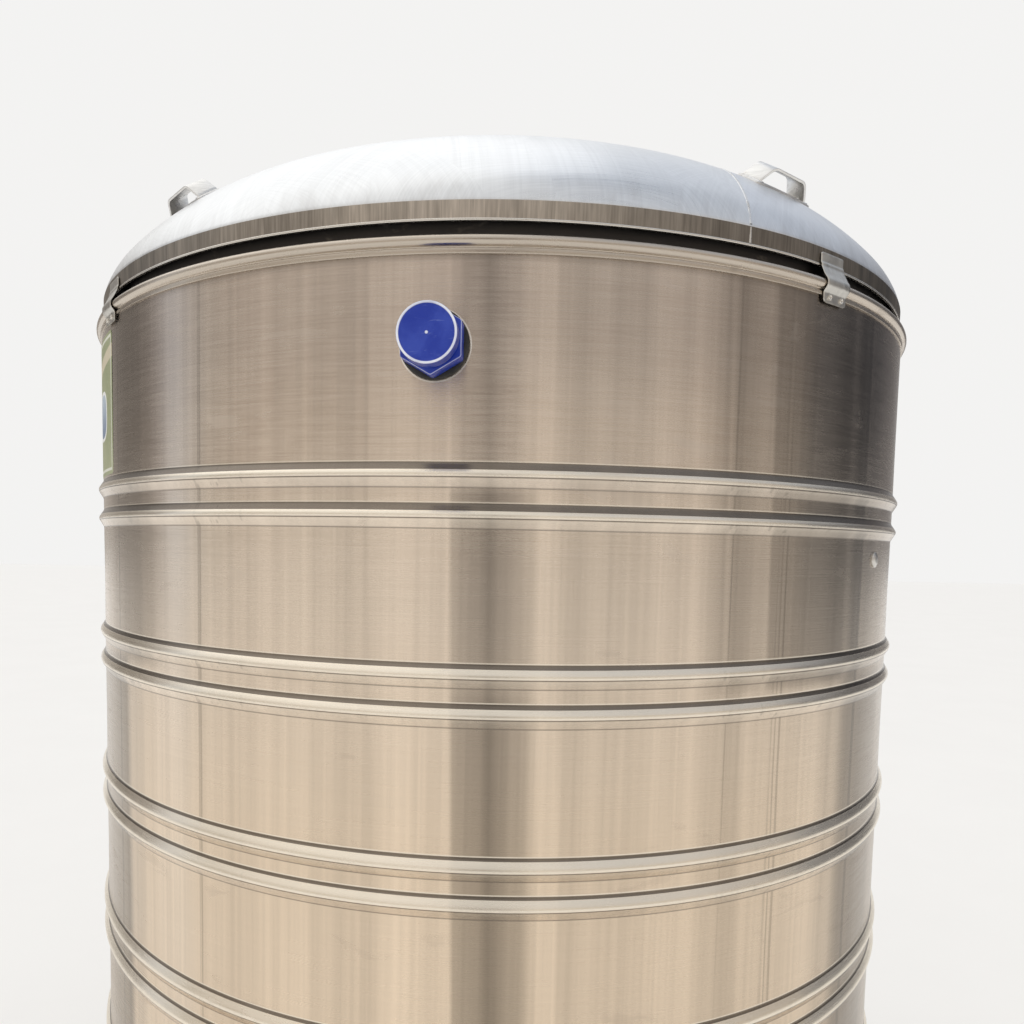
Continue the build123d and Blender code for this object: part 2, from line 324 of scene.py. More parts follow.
def wall_steel():
    m = Mat("wall_steel_brushed", (0.72, 0.63, 0.52), 1.0, 0.26, Anisotropic=0.94, Anisotropic_Rotation=0.25)
    m.tangent("Z")
    az = m.azimuth()
    # broad soft tones round the tank: painted reflections, in vertical bands
    x, y, z = m.split(m.obj)
    deg = m.math("ADD", m.math("MULTIPLY_ADD", az, 360.0, -180.0), m.math("MULTIPLY_ADD", z, 1.7, -2.1))

    def front(stops, kind="EASE"):
        """Painted reflection tones against degrees from the front, between -60 and 60."""
        return m.ramp(m.math("MULTIPLY_ADD", deg, 1 / 120, 0.5), [((d + 60) / 120, t) for d, t in stops], kind)

    reflection_tone = m.ramp(az, [(0.00, 0.93), (0.06, 0.80), (0.13, 1.00), (0.21, 0.84), (0.29, 0.98), (0.335, 1.00), (0.665, 1.00), (0.72, 0.99), (0.80, 0.84), (0.90, 1.00), (1.00, 0.93)])
    reflection_tone = m.mix(1.0, reflection_tone, front([
        (-60, 1.00), (-52, 0.80), (-47, 0.64), (-41, 0.66), (-38, (0.90, 0.91, 0.93)), (-35, (0.98, 1.00, 1.03)), (-31, 0.90), (-22, 1.00), (-17, 0.92), (-11.0, 0.90), (-10.6, 1.03), (-3.7, 1.02),
        (-3.2, 0.58), (-1.2, 0.50), (0.2, 0.34), (0.8, 0.46), (2.6, 0.60), (4.0, 0.84), (4.8, 1.05), (6.3, 1.07), (6.7, 0.88), (14.8, 0.88), (15.6, 0.99), (19.8, 0.99), (20.4, 0.88), (24.0, 0.84), (60, 0.84)]), "MULTIPLY")
    # painted reflection: the upper two courses are darker on the right-hand side, the lower ones only near the edge
    upper = front([(-60, 1.0), (-44, 0.85), (-40, 1.0), (20, 1.0), (22.4, 0.84), (22.8, 0.66), (23.2, 0.84), (24.4, 0.66), (28.4, 0.88), (29.2, 0.58), (36, 0.54), (41.5, 0.38), (42.5, 0.50), (44.5, 0.34), (47, 0.60), (60, 0.9)])
    lower = front([(-60, 0.62), (-48, 0.62), (-46, 1.25), (-41, 1.40), (-37, 1.08), (-33, 1.0), (22, 1.0), (24, 0.88), (25.4, 0.88), (26, 1.06), (30, 1.02), (37, 1.14), (40, 0.90), (44, 0.46), (50, 0.44), (60, 0.7)])
    reflection_tone = m.mix(1.0, reflection_tone, m.mix(m.span(z, 1.345, 1.365), lower, upper), "MULTIPLY")
    # painted reflection: the top course is a little lighter, then darker towards the rim
    reflection_tone = m.mix(1.0, reflection_tone, m.mix(m.span(z, 1.54, 1.56), (1.05, 1.05, 1.05), m.mix(m.span(z, 1.58, 1.72), (0.96, 0.955, 0.96), (0.80, 0.80, 0.83))), "MULTIPLY")
    # the painted reflection stripe in the middle fades towards the rim
    centre_reflection_fade = front([(-60, 1.0), (-3.8, 1.0), (-3.2, 1.62), (-1.2, 1.70), (0.2, 2.10), (0.8, 1.85), (2.6, 1.60), (4.0, 1.25), (4.8, 1.0), (60, 1.0)])
    keep = m.math("MAXIMUM", m.math("MULTIPLY", m.span(z, 1.345, 1.365), 0.24), m.math("MULTIPLY", m.span(z, 1.54, 1.56), 0.9))
    reflection_tone = m.mix(1.0, reflection_tone, m.mix(keep, (1.0, 1.0, 1.0), centre_reflection_fade), "MULTIPLY")
    streak = m.noise((30.0, 30.0, 0.25), 5.0, 0.68)
    lines = m.noise((150.0, 150.0, 0.8), 2.0, 0.6)
    grain = m.noise((5.0, 5.0, 1500.0), 2.0, 0.6)
    grain2 = m.noise((14.0, 14.0, 420.0), 2.0, 0.7)
    blotch = m.noise((3.1, 3.1, 4.2), 4.0, 0.62, 0.4)
    smear = m.noise((9.0, 9.0, 26.0), 4.0, 0.6, 0.8)
    # the beads' painted shade and painted highlight, read from point attributes
    crease_shade = m.attr("crease_shade")
    ridge_highlight_mask = m.attr("ridge_highlight")
    k = m.math("MULTIPLY", m.span(streak, 0.28, 0.72, 0.84, 1.12, "LINEAR"), m.span(grain, 0.3, 0.7, 0.965, 1.03, "LINEAR"))
    k = m.math("MULTIPLY", k, m.span(lines, 0.3, 0.7, 0.955, 1.035, "LINEAR"))
    # a few crisp dark streaks, most of them on the two flanks: painted reflection lines
    reflection_streak = m.noise((46.0, 46.0, 0.12), 3.0, 0.7)
    flank = m.ramp(az, [(0.0, 0.5), (0.40, 0.9), (0.425, 1.0), (0.445, 0.1), (0.555, 0.1), (0.565, 1.0), (0.60, 0.9), (1.0, 0.5)])
    k = m.math("MULTIPLY", k, m.math("SUBTRACT", 1.0, m.math("MULTIPLY", m.math("MULTIPLY", m.span(reflection_streak, 0.585, 0.64), flank), 0.30)))
    k = m.math("MULTIPLY", k, m.span(grain2, 0.3, 0.7, 0.975, 1.025, "LINEAR"))
    k = m.math("MULTIPLY", k, m.span(blotch, 0.3, 0.7, 0.95, 1.04, "LINEAR"))
    col = m.mix(m.span(z, 1.15, 1.50), (0.800, 0.655, 0.500), (0.775, 0.662, 0.545))
    col = m.mix(1.0, col, reflection_tone, "MULTIPLY")
    col = m.mix(1.0, col, m.grey(k), "MULTIPLY")
    # painted highlight on the bead crests, painted shade in the creases and on the upper flanks
    col = m.mix(m.math("MULTIPLY", ridge_highlight_mask, 0.80), col, (0.97, 0.89, 0.76))
    col = m.mix(m.math("MULTIPLY", crease_shade, 0.85), col, (0.155, 0.132, 0.110))
    # painted highlight: a pale ring on the wall round the inlet's gasket
    iaz_, _, iz_ = spot("inlet_gasket")
    px_, py_, pz_ = m.split(m.vec("SUBTRACT", m.obj, tuple(polar(iaz_, R, iz_))))
    dist = m.math("SQRT", m.math("ADD", m.math("ADD", m.math("MULTIPLY", px_, px_), m.math("MULTIPLY", py_, py_)), m.math("MULTIPLY", pz_, pz_)))
    lip = m.math("MULTIPLY", m.span(dist, 0.0330, 0.0333), m.span(dist, 0.0350, 0.0341))
    col = m.mix(m.math("MULTIPLY", lip, 0.75), col, (0.98, 0.95, 0.90))
    # faint rubbed marks
    rub = m.span(smear, 0.60, 0.72, 0.0, 1.0)
    col = m.mix(m.math("MULTIPLY", rub, 0.10), col, (0.62, 0.53, 0.44))
    m.base(col)
    r = m.math("ADD", m.span(grain2, 0.3, 0.7, 0.21, 0.28, "LINEAR"), m.math("MULTIPLY", rub, 0.07))
    r = m.math("ADD", r, m.span(blotch, 0.3, 0.7, -0.03, 0.04, "LINEAR"))
    m.rough(r)
    wave = m.noise((5.0, 5.0, 7.0), 2.0, 0.5)
    n = m.bump(wave, 0.35, 0.0022)
    n = m.bump(m.math("ADD", grain, m.math("MULTIPLY", grain2, 0.6)), 0.16, 0.00035, n)
    m.normal(n)
    return m.m


def band_steel(name, base, rough=0.26, aniso=0.55):
    """Rolled rims, hem bands and rings: grain runs round the tank."""
    m = Mat(name, base, 1.0, rough, Anisotropic=aniso, Anisotropic_Rotation=0.25)
    m.tangent("Z")
    grain = m.noise((6.0, 6.0, 1700.0), 2.0, 0.6)
    dirt = m.noise((22.0, 22.0, 60.0), 4.0, 0.65, 0.5)
    slow = m.noise((4.0, 4.0, 3.0), 3.0, 0.5)
    k = m.math("MULTIPLY", m.span(grain, 0.3, 0.7, 0.94, 1.04, "LINEAR"), m.span(slow, 0.3, 0.7, 0.9, 1.06, "LINEAR"))
    col = m.mix(1.0, base, m.grey(k), "MULTIPLY")
    col = m.mix(m.math("MULTIPLY", m.span(dirt, 0.58, 0.75), 0.35), col, (0.33, 0.28, 0.23))
    m.base(col)
    m.rough(m.math("ADD", m.span(dirt, 0.3, 0.75, rough - 0.04, rough + 0.12, "LINEAR"), 0.0))
    m.normal(m.bump(m.math("ADD", grain, dirt), 0.15, 0.0003))
    return m.m


def skirt_steel():
    m = Mat("skirt_steel_brushed", (0.50, 0.46, 0.41), 1.0, 0.34, Anisotropic=0.7)
    m.tangent("Z")
    vert = m.noise((420.0, 420.0, 9.0), 3.0, 0.65)
    vert2 = m.noise((90.0, 90.0, 12.0), 3.0, 0.6)
    patch = m.noise((11.0, 11.0, 6.0), 4.0, 0.6, 0.3)
    k = m.math("MULTIPLY", m.span(vert, 0.28, 0.72, 0.70, 1.20, "LINEAR"), m.span(vert2, 0.3, 0.7, 0.78, 1.14, "LINEAR"))
    k = m.math("MULTIPLY", k, m.span(patch, 0.3, 0.7, 0.78, 1.10, "LINEAR"))
    # painted reflection: the skirt is lighter at the front and darker towards the right-hand side
    skirt_reflection_tone = m.ramp(m.azimuth(), [(0.0, 0.85), (0.30, 0.80), (0.36, 0.86), (0.44, 1.05), (0.47, 1.45), (0.51, 1.45), (0.535, 1.05), (0.555, 0.70), (0.60, 0.66), (0.64, 0.50), (0.70, 0.70), (1.0, 0.85)])
    col = m.mix(1.0, (0.40, 0.36, 0.315), m.grey(k), "MULTIPLY")
    m.base(m.mix(1.0, col, skirt_reflection_tone, "MULTIPLY"))
    m.rough(m.span(vert2, 0.3, 0.7, 0.30, 0.42, "LINEAR"))
    m.normal(m.bump(m.math("ADD", vert, m.math("MULTIPLY", patch, 0.6)), 0.22, 0.0004))
    return m.m


def roof_steel(name, base):
    """Dome sheet with swirled hand-finished brush marks."""
    m = Mat(name, base, 1.0, 0.34)
    # each patch is brushed in its own direction
    warp = m.vec("ADD", m.obj, m.vec("MULTIPLY", m.noise(7.0, 2.0, colour=True), (0.05, 0.05, 0.0)))
    angle = m.math("MULTIPLY", m.split(m.cells((9.0, 9.0, 0.0), warp, out="Color"))[0], 6.283)
    x, y, z = m.split(m.obj)
    ca, sa = m.math("COSINE", angle), m.math("SINE", angle)
    u = m.math("ADD", m.math("MULTIPLY", x, ca), m.math("MULTIPLY", y, sa))
    v = m.math("SUBTRACT", m.math("MULTIPLY", y, ca), m.math("MULTIPLY", x, sa))
    swirl = m.noise((16.0, 620.0, 0.0), 3.0, 0.6, source=m.join(u, v, 0.0))
    arcs = m.noise((5.0, 150.0, 0.0), 3.0, 0.6, 1.2, source=m.join(v, u, 0.0))
    cloud = m.noise((3.4, 3.4, 3.4), 4.0, 0.6, 0.6)
    wipe = m.noise((26.0, 7.0, 7.0), 4.0, 0.65, 0.9)
    k = m.math("MULTIPLY", m.span(swirl, 0.3, 0.7, 0.93, 1.05, "LINEAR"), m.span(arcs, 0.3, 0.7, 0.95, 1.04, "LINEAR"))
    k = m.math("MULTIPLY", k, m.span(cloud, 0.3, 0.7, 0.92, 1.06, "LINEAR"))
    col = m.mix(1.0, base, m.grey(k), "MULTIPLY")
    col = m.mix(m.math("MULTIPLY", m.span(wipe, 0.58, 0.72), 0.14), col, (0.58, 0.58, 0.60))
    # grime gathers towards the fold
    low = m.span(z, FOLD_Z + 0.002, FOLD_Z + 0.05, 1.0, 0.0)
    col = m.mix(m.math("MULTIPLY", low, m.span(wipe, 0.42, 0.7, 0.0, 0.22)), col, (0.42, 0.40, 0.38))
    m.base(col)
    r = m.math("ADD", m.span(swirl, 0.3, 0.7, 0.27, 0.38, "LINEAR"), m.span(cloud, 0.3, 0.7, -0.03, 0.05, "LINEAR"))
    m.rough(r)
    n = m.bump(m.noise((4.2, 4.2, 4.2), 2.0, 0.5), 0.35, 0.004)
    n = m.bump(m.math("ADD", swirl, m.math("MULTIPLY", arcs, 0.7)), 0.12, 0.0004, n)
    m.normal(n)
    return m.m


def part_steel(name, base, rough=0.33, grain=(40.0, 40.0, 700.0), worn=0.25):
    """Small formed parts: satin steel with pits, rubbing and weld tint."""
    m = Mat(name, base, 1.0, rough)
    g = m.noise(grain, 3.0, 0.6)
    pit = m.noise((160.0, 160.0, 160.0), 4.0, 0.65)
    stain = m.noise((48.0, 48.0, 48.0), 4.0, 0.6, 0.5)
    k = m.math("MULTIPLY", m.span(g, 0.3, 0.7, 0.88, 1.08, "LINEAR"), m.span(stain, 0.3, 0.7, 0.82, 1.10, "LINEAR"))
    col = m.mix(1.0, base, m.grey(k), "MULTIPLY")
    col = m.mix(m.math("MULTIPLY", m.span(stain, 0.56, 0.72), worn), col, (0.30, 0.26, 0.22))
    m.base(col)
    m.rough(m.span(stain, 0.3, 0.72, rough - 0.06, rough + 0.14, "LINEAR"))
    m.normal(m.bump(m.math("ADD", pit, m.math("MULTIPLY", g, 0.5)), 0.25, 0.0004))
    return m.m


def weld_steel(name, base=(0.78, 0.77, 0.75)):
    m = Mat(name, base, 1.0, 0.28)
    x, y, z = m.split(m.obj)
    tint = m.noise((60.0, 60.0, 60.0), 3.0, 0.6)
    ripple = m.noise((300.0, 300.0, 300.0), 2.0, 0.5)
    col = m.mix(m.span(tint, 0.42, 0.7, 0.0, 0.45), base, (0.52, 0.46, 0.38))
    m.base(col)
    m.rough(m.span(ripple, 0.3, 0.7, 0.2, 0.4, "LINEAR"))
    m.normal(m.bump(ripple, 0.3, 0.0004))
    return m.m


def plug_plastic():
    m = Mat("plug_blue_moulded", (0.016, 0.055, 0.36), 0.0, 0.34, Specular_IOR_Level=0.35)
    slow = m.noise((38.0, 38.0, 38.0), 3.0, 0.6, 0.4)
    fine = m.noise((520.0, 520.0, 520.0), 3.0, 0.6)
    scuff = m.noise((60.0, 240.0, 260.0), 4.0, 0.7, 0.8)
    col = m.mix(m.span(slow, 0.35, 0.68, 0.0, 0.75), (0.012, 0.036, 0.33), (0.034, 0.070, 0.42))
    col = m.mix(m.math("MULTIPLY", m.span(scuff, 0.60, 0.74), 0.35), col, (0.20, 0.26, 0.55))
    # painted highlights on the edges, and a pale gate mark in the middle
    edge_highlight_gate = m.math("MULTIPLY", m.attr("edge_highlight_gate"), m.span(slow, 0.25, 0.6, 0.65, 1.0, "LINEAR"))
    col = m.mix(edge_highlight_gate, col, (0.82, 0.84, 0.92))
    m.base(col)
    m.rough(m.math("ADD", m.span(slow, 0.3, 0.7, 0.28, 0.40, "LINEAR"), m.math("MULTIPLY", m.span(scuff, 0.58, 0.74), 0.2)))
    m.normal(m.bump(m.math("ADD", fine, slow), 0.12, 0.0003))
    return m.m


def rubber():
    m = Mat("gasket_rubber_black", (0.018, 0.017, 0.016), 0.0, 0.55)
    a = m.noise((260.0, 260.0, 260.0), 4.0, 0.6)
    b = m.noise((40.0, 40.0, 40.0), 3.0, 0.6)
    col = m.mix(m.span(b, 0.35, 0.7), (0.012, 0.011, 0.010), (0.040, 0.037, 0.034))
    m.base(col)
    m.rough(m.span(a, 0.3, 0.7, 0.45, 0.68, "LINEAR"))
    m.normal(m.bump(a, 0.3, 0.0004))
    return m.m


def label_film():
    """Printed film: green field, pale border, and a plain pale rounded panel. No marks of any maker."""
    m = Mat("label_film_green", (0.36, 0.38, 0.22), 0.0, 0.42)
    x, y, z = m.split(m.obj)
    az = m.math("MULTIPLY", m.math("ARCTAN2", x, m.math("MULTIPLY", y, -1.0)), 180 / math.pi)
    laz, _, lz = spot("side_label")
    z0, z1 = zspan("side_label")
    half_w, half_h = 7.15, (z1 - z0) / 2
    u = m.math("DIVIDE", m.math("SUBTRACT", az, laz), half_w)              # -1..1
    v = m.math("DIVIDE", m.math("SUBTRACT", z, (z0 + z1) / 2), half_h)     # -1..1
    edge = m.math("MAXIMUM", m.math("ABSOLUTE", u), m.math("MULTIPLY_ADD", m.math("ABSOLUTE", v), 1.0, 0.0))
    border = m.math("MULTIPLY", m.span(edge, 0.90, 0.915), m.span(edge, 0.955, 0.94))
    # rounded panel low on the label
    pu = m.math("DIVIDE", u, 0.52)
    pv = m.math("DIVIDE", m.math("ADD", v, 0.12), 0.36)
    d = m.math("ADD", m.math("POWER", m.math("ABSOLUTE", pu), 3.0), m.math("POWER", m.math("ABSOLUTE", pv), 3.0))
    outer = m.span(d, 1.06, 0.98)
    inner = m.span(d, 0.70, 0.62)
    weave = m.noise((90.0, 90.0, 90.0), 4.0, 0.6)
    sun = m.noise((9.0, 9.0, 9.0), 3.0, 0.6)
    col = m.mix(m.span(sun, 0.3, 0.7), (0.30, 0.33, 0.18), (0.40, 0.42, 0.25))
    band = m.span(m.math("ABSOLUTE", m.math("SUBTRACT", v, m.math("MULTIPLY_ADD", u, 0.10, 0.62))), 0.10, 0.085)
    col = m.mix(band, col, (0.62, 0.55, 0.40))
    col = m.mix(border, col, (0.72, 0.72, 0.62))
    col = m.mix(outer, col, (0.86, 0.86, 0.84))
    col = m.mix(inner, col, m.mix(m.span(v, -0.45, 0.2), (0.18, 0.24, 0.36), (0.46, 0.54, 0.62)))
    col = m.mix(m.math("MULTIPLY", m.span(weave, 0.55, 0.75), 0.12), col, (0.75, 0.75, 0.70))
    m.base(col)
    m.rough(m.span(weave, 0.3, 0.7, 0.33, 0.5, "LINEAR"))
    m.normal(m.bump(m.math("ADD", weave, sun), 0.1, 0.0005))
    return m.m


WALL = wall_steel()
RIM = band_steel("rim_steel_rolled", (0.60, 0.53, 0.45), 0.22, 0.5)
FOOT = band_steel("foot_steel_rolled", (0.66, 0.60, 0.53), 0.30, 0.5)
HEM = band_steel("hem_steel_rolled", (0.74, 0.70, 0.64), 0.24, 0.4)
# painted shade: the locating ring is near black, standing for the shadow in the recess under the skirt
RING_PAINTED_SHADE = band_steel("ring_steel_painted_shade", (0.06, 0.054, 0.05), 0.5, 0.3)
BASE = part_steel("base_steel_sheet", (0.58, 0.56, 0.52), 0.38)
SKIRT = skirt_steel()
ROOF = roof_steel("roof_steel_main", (0.80, 0.81, 0.82))
# painted reflection: the side sheet is the main sheet's steel, a little darker and bluer
ROOF_SIDE_PAINTED_REFLECTION = roof_steel("roof_steel_side_painted_reflection", (0.76, 0.775, 0.80))
LUG = part_steel("lug_steel_satin", (0.80, 0.79, 0.77), 0.30)
PLATE = part_steel("lug_plate_steel", (0.74, 0.73, 0.72), 0.34)
CLIP = part_steel("clip_steel_pressed", (0.62, 0.60, 0.56), 0.30, (120.0, 120.0, 50.0), 0.4)
BOLT = part_steel("bolt_steel_turned", (0.72, 0.68, 0.62), 0.22)
FITTING = part_steel("fitting_steel_turned", (0.70, 0.68, 0.64), 0.27)
WELD = weld_steel("weld_steel_bright")
PLUG = plug_plastic()
RUBBER = rubber()
LABEL = label_film()


def ride(o):
    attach(o, "root")
    return o


# ---- wall --------------------------------------------------------------------
BEAD_LOW = [  # radial offset, height from the bead's middle, painted crease shade, painted ridge highlight (millimetres)
    (0.00, -12.6, 0.0, 0.0), (0.03, -12.0, 0.85, 0.0), (0.25, -11.4, 0.6, 0.0), (0.80, -10.4, 0.0, 0.12), (2.90, -6.6, 0.0, 0.15), (4.85, -3.3, 0.0, 0.35),
    (5.20, -2.75, 0.2, 0.0), (5.22, -2.35, 1.0, 0.0), (5.40, -1.80, 1.0, 0.0), (5.75, -1.40, 0.0, 0.8), (5.97, -0.3, 0.0, 1.0), (5.97, 0.7, 0.0, 1.0), (5.80, 1.7, 0.0, 1.0)]
BEAD_HIGH = [(5.30, 2.9), (4.60, 4.1), (3.85, 5.3), (3.05, 6.5), (2.25, 7.7), (1.45, 8.9), (0.80, 9.9), (0.32, 10.8), (0.08, 11.6)]


def bead_rows(shade):
    """One bead from its lower to its upper edge; its upper flank carries a painted shaded strip above the height
    given.
    """
    rows, before = list(BEAD_LOW), (5.80, 1.7)
    for o, h in BEAD_HIGH:
        if before[1] < shade <= h:
            f = (shade - before[1]) / (h - before[1])
            mid = before[0] + (o - before[0]) * f
            rows += [(mid, shade - 0.10, 0.0, 1.0), (mid, shade + 0.10, 1.0, 0.0)]
            if h - shade < 0.2:
                before = (o, h)
                continue
        rows.append((o, h, 1.0, 0.0) if h > shade else (o, h, 0.0, 1.0))
        before = (o, h)
    return rows + [(0.0, 12.2, 0.9, 0.0), (0.0, 12.45, 0.0, 0.9), (0.0, 13.3, 0.0, 0.8), (0.0, 13.8, 0.0, 0.0)]


line = [(0.0, WALL_Z0, 0.6, 0.0), (0.0, WALL_Z0 + 0.004, 0.0, 0.0)]
for c in PAIRS:
    # the painted shaded strip narrows from pair to pair down the wall
    shade = 5.0 if c > 1.5 else (7.6 if c > 1.3 else 9.0)
    for zc in (c - BEAD_PITCH / 2, c + BEAD_PITCH / 2):
        lo, hi = line[-1][1], zc - 0.0126
        flats = (0.04, 0.2, 0.5, 0.8, 0.96) if hi - lo > 0.03 else (0.5,)
        line += [(0.0, lo + (hi - lo) * f, 0.0, 0.0) for f in flats]
        line += [(a / 1000, zc + b / 1000, d, e) for a, b, d, e in bead_rows(shade)]
lo = line[-1][1]
line += [(0.0, lo + (WALL_Z1 - lo) * f, 0.0, 0.0) for f in (0.04, 0.2, 0.4, 0.6, 0.8, 0.96)]
line.append((0.0, WALL_Z1, 0.5, 0.0))


def wall_shape(az, r, z):
    """Thin sheet is never quite round: it waves by a tenth of a millimetre or two between the beads."""
    free = 1.0
    for c in PAIRS:
        free = min(free, smooth(abs(z - c), 0.034, 0.085))
    p = polar(az, 1.0, z * 2.2)
    w = noise.noise(p * 3.1) * 0.00022 + noise.noise(p * 7.0 + Vector((5, 1, 2))) * 0.00008
    return r - (0.00022 + w) * free, z


WALL_N = 288
verts, faces = lathe([(R + o, z) for o, z, _, _ in line], WALL_N, shape=wall_shape)
wall = make("wall_shell", verts, faces, WALL, sharp=28.0)
# point attributes that carry the beads' painted shade and painted highlight
crease_shade = wall.data.attributes.new("crease_shade", "FLOAT", "POINT")
ridge_highlight = wall.data.attributes.new("ridge_highlight", "FLOAT", "POINT")
crease_shade.data.foreach_set("value", np.tile([c for _, _, c, _ in line], WALL_N))
ridge_highlight.data.foreach_set("value", np.tile([e for _, _, _, e in line], WALL_N))


def bore_hole(o, node, radius):
    """Opens the sheet behind a socket and trims the opening round."""
    az, _, z = spot(node)
    inv = frame_at(az, R, z).inverted()
    bm = bmesh.new()
    bm.from_mesh(o.data)
    # refine near the socket so that the opening comes out round
    for _ in range(2):
        near = [e for e in bm.edges if all(abs((inv @ v.co).x) < 0.02 and math.hypot((inv @ v.co).y, (inv @ v.co).z) < radius * 2.0 for v in e.verts)]
        bmesh.ops.subdivide_edges(bm, edges=near, cuts=1, use_grid_fill=True)
    doomed = [f for f in bm.faces if abs((inv @ f.calc_center_median()).x) < 0.02 and any(math.hypot((inv @ v.co).y, (inv @ v.co).z) < radius * 0.97 for v in f.verts)]
    bmesh.ops.delete(bm, geom=doomed, context="FACES")
    fwd = inv.inverted()
    for v in bm.verts:
        p = inv @ v.co
        d = math.hypot(p.y, p.z)
        if abs(p.x) < 0.02 and d < radius * 1.35 and any(e.is_boundary for e in v.link_edges):
            p.y, p.z = p.y / d * radius, p.z / d * radius
            q = fwd @ p
            s = R / math.hypot(q.x, q.y)
            v.co = Vector((q.x * s, q.y * s, q.z))
    bm.to_mesh(o.data)
    bm.free()


bore_hole(wall, "inlet_socket", 0.0262)
bore_hole(wall, "outlet_socket", 0.0262)
for p in wall.data.polygons:
    p.use_smooth = True
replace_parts(ride(wall), "wall_front_right", "wall_right_front", "wall_right_back", "wall_back_right",
            "wall_back_left", "wall_left_back", "wall_left_front", "wall_front_left")

# the shell's vertical weld, at the back
SEAM_AZ = 158.0
rows = [(o, z) for o, z, _, _ in line if z < WALL_Z1 - 0.001]
fine = []
for (o0, z0), (o1, z1) in zip(rows, rows[1:]):
    steps = max(1, int((z1 - z0) / 0.004))
    fine += [(o0 + (o1 - o0) * i / steps, z0 + (z1 - z0) * i / steps) for i in range(steps)]
sec = [(-0.0022, -0.0002), (-0.0017, 0.0002), (-0.0008, 0.00042), (0.0, 0.0005), (0.0008, 0.00042), (0.0017, 0.0002), (0.0022, -0.0002)]
verts, faces = [], []
for i, (o, z) in enumerate(fine):
    puff = 0.85 + 0.15 * math.sin(i * 2.1) + 0.1 * noise.noise(Vector((0.3, 0.7, z * 130)))
    for dy, h in sec:
        rr = R + o + h * puff
        verts.append(polar(SEAM_AZ + math.degrees(dy * (1 + 0.12 * noise.noise(Vector((2, 3, z * 90)))) / R), rr, z))
for i in range(len(fine) - 1):
    for j in range(len(sec) - 1):
        a = i * len(sec) + j
        faces.append((a, a + 1, a + len(sec) + 1, a + len(sec)))
ride(make("wall_seam_weld", verts, faces, WELD, sharp=None))

# ---- rim, foot, lid rings -----------------------------------------------------
mm = 0.001


def ring_piece(name, points, node, mat, n=288, rounding=0.8, shape=None, sharp=34.0):
    pts = round_line([(r, z) for r, z in points] + [points[0]], rounding * mm, 3)[:-1] if rounding else points
    v, f = lathe(pts, n, closed=True, shape=shape)
    o = make(name, v, f, mat, sharp=sharp)
    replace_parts(ride(o), node)
    return o


# rim: hem band round the wall, a groove, then the roll
groove_z = RIM_Z1 - 0.011
roll_r = 0.0053
rim_line = [(R - 1.0 * mm, RIM_Z0), (R + 1.3 * mm, RIM_Z0), (R + 1.5 * mm, RIM_Z0 + 0.4 * mm), (R + 1.5 * mm, groove_z - 0.9 * mm), (R + 1.25 * mm, groove_z - 0.35 * mm), (R + 1.5 * mm, groove_z + 0.15 * mm)]
cz = RIM_Z1 - roll_r
rim_line += [(RIM_R - 0.0050 + 0.0050 * math.cos(math.radians(a)), cz + roll_r * math.sin(math.radians(a))) for a in range(-72, 236, 11)]
rim_line += [(R - 1.0 * mm, groove_z + 0.4 * mm)]
ring_piece("rim_rolled_edge", rim_line, "rim_ring", RIM, rounding=0)

foot_line = [(R - 6.0 * mm, 0.0), (FOOT_R - 3.2 * mm, 0.0)] + [(FOOT_R - 0.0055 + 0.0055 * math.cos(math.radians(a)), 0.006 + 0.006 * math.sin(math.radians(a))) for a in range(-66, 78, 11)]
foot_line += [(R + 2.0 * mm, 0.0126), (R + 1.5 * mm, 0.0134), (R + 1.5 * mm, FOOT_Z1 - 0.5 * mm), (R + 1.2 * mm, FOOT_Z1), (R - 1.0 * mm, FOOT_Z1), (R - 1.0 * mm, 0.012), (R - 6.0 * mm, 0.009)]
ring_piece("foot_rolled_edge", foot_line, "foot_ring", FOOT, rounding=0)


def skirt_shape(az, r, z):
    """The hand-folded skirt waves a little, most at its free edge."""
    p = polar(az, 1.0, 0.0)
    loose = smooth(z, SKIRT_Z1, SKIRT_Z0 - 0.003)
    return r - (0.00035 + 0.0003 * noise.noise(p * 5.0)) * loose, z + 0.00045 * noise.noise(p * 3.7 + Vector((1, 2, 3))) * loose


ring_piece("roof_skirt_band", [(SKIRT_R - 1.0 * mm, HEM_Z0 + 1.2 * mm), (SKIRT_R - 0.05 * mm, HEM_Z0 + 1.2 * mm), (SKIRT_R, SKIRT_Z0 + 5 * mm), (SKIRT_R, (SKIRT_Z0 + SKIRT_Z1) / 2), (SKIRT_R, SKIRT_Z1 + 0.1 * mm),
                               (SKIRT_R - 1.0 * mm, SKIRT_Z1 - 0.6 * mm)], "roof_skirt", SKIRT, rounding=0, shape=skirt_shape)
ring_piece("roof_skirt_hem_roll", [(HEM_R - 3.1 * mm, HEM_Z0 + 0.5 * mm), (HEM_R - 2.4 * mm, HEM_Z0 + 0.1 * mm), (HEM_R - 0.8 * mm, HEM_Z0 + 0.1 * mm), (HEM_R - 0.25 * mm, HEM_Z0 + 0.4 * mm),
                                   (HEM_R, HEM_Z0 + 1.0 * mm), (HEM_R, HEM_Z0 + 1.9 * mm), (HEM_R - 0.25 * mm, HEM_Z0 + 2.5 * mm), (HEM_R - 0.8 * mm, HEM_Z1 - 0.1 * mm),
                                   (HEM_R - 2.4 * mm, HEM_Z1 - 0.1 * mm), (HEM_R - 3.1 * mm, HEM_Z1 - 0.5 * mm)], "roof_skirt_hem", HEM, rounding=0, shape=skirt_shape)
ring_piece("roof_locating_band", [(RING_R - 1.2 * mm, RING_Z0), (RING_R, RING_Z0), (RING_R, RING_Z1 - 1.5 * mm), (RING_R - 1.2 * mm, RING_Z1 - 1.5 * mm)],
           "roof_locating_ring", RING_PAINTED_SHADE, n=180, rounding=0)

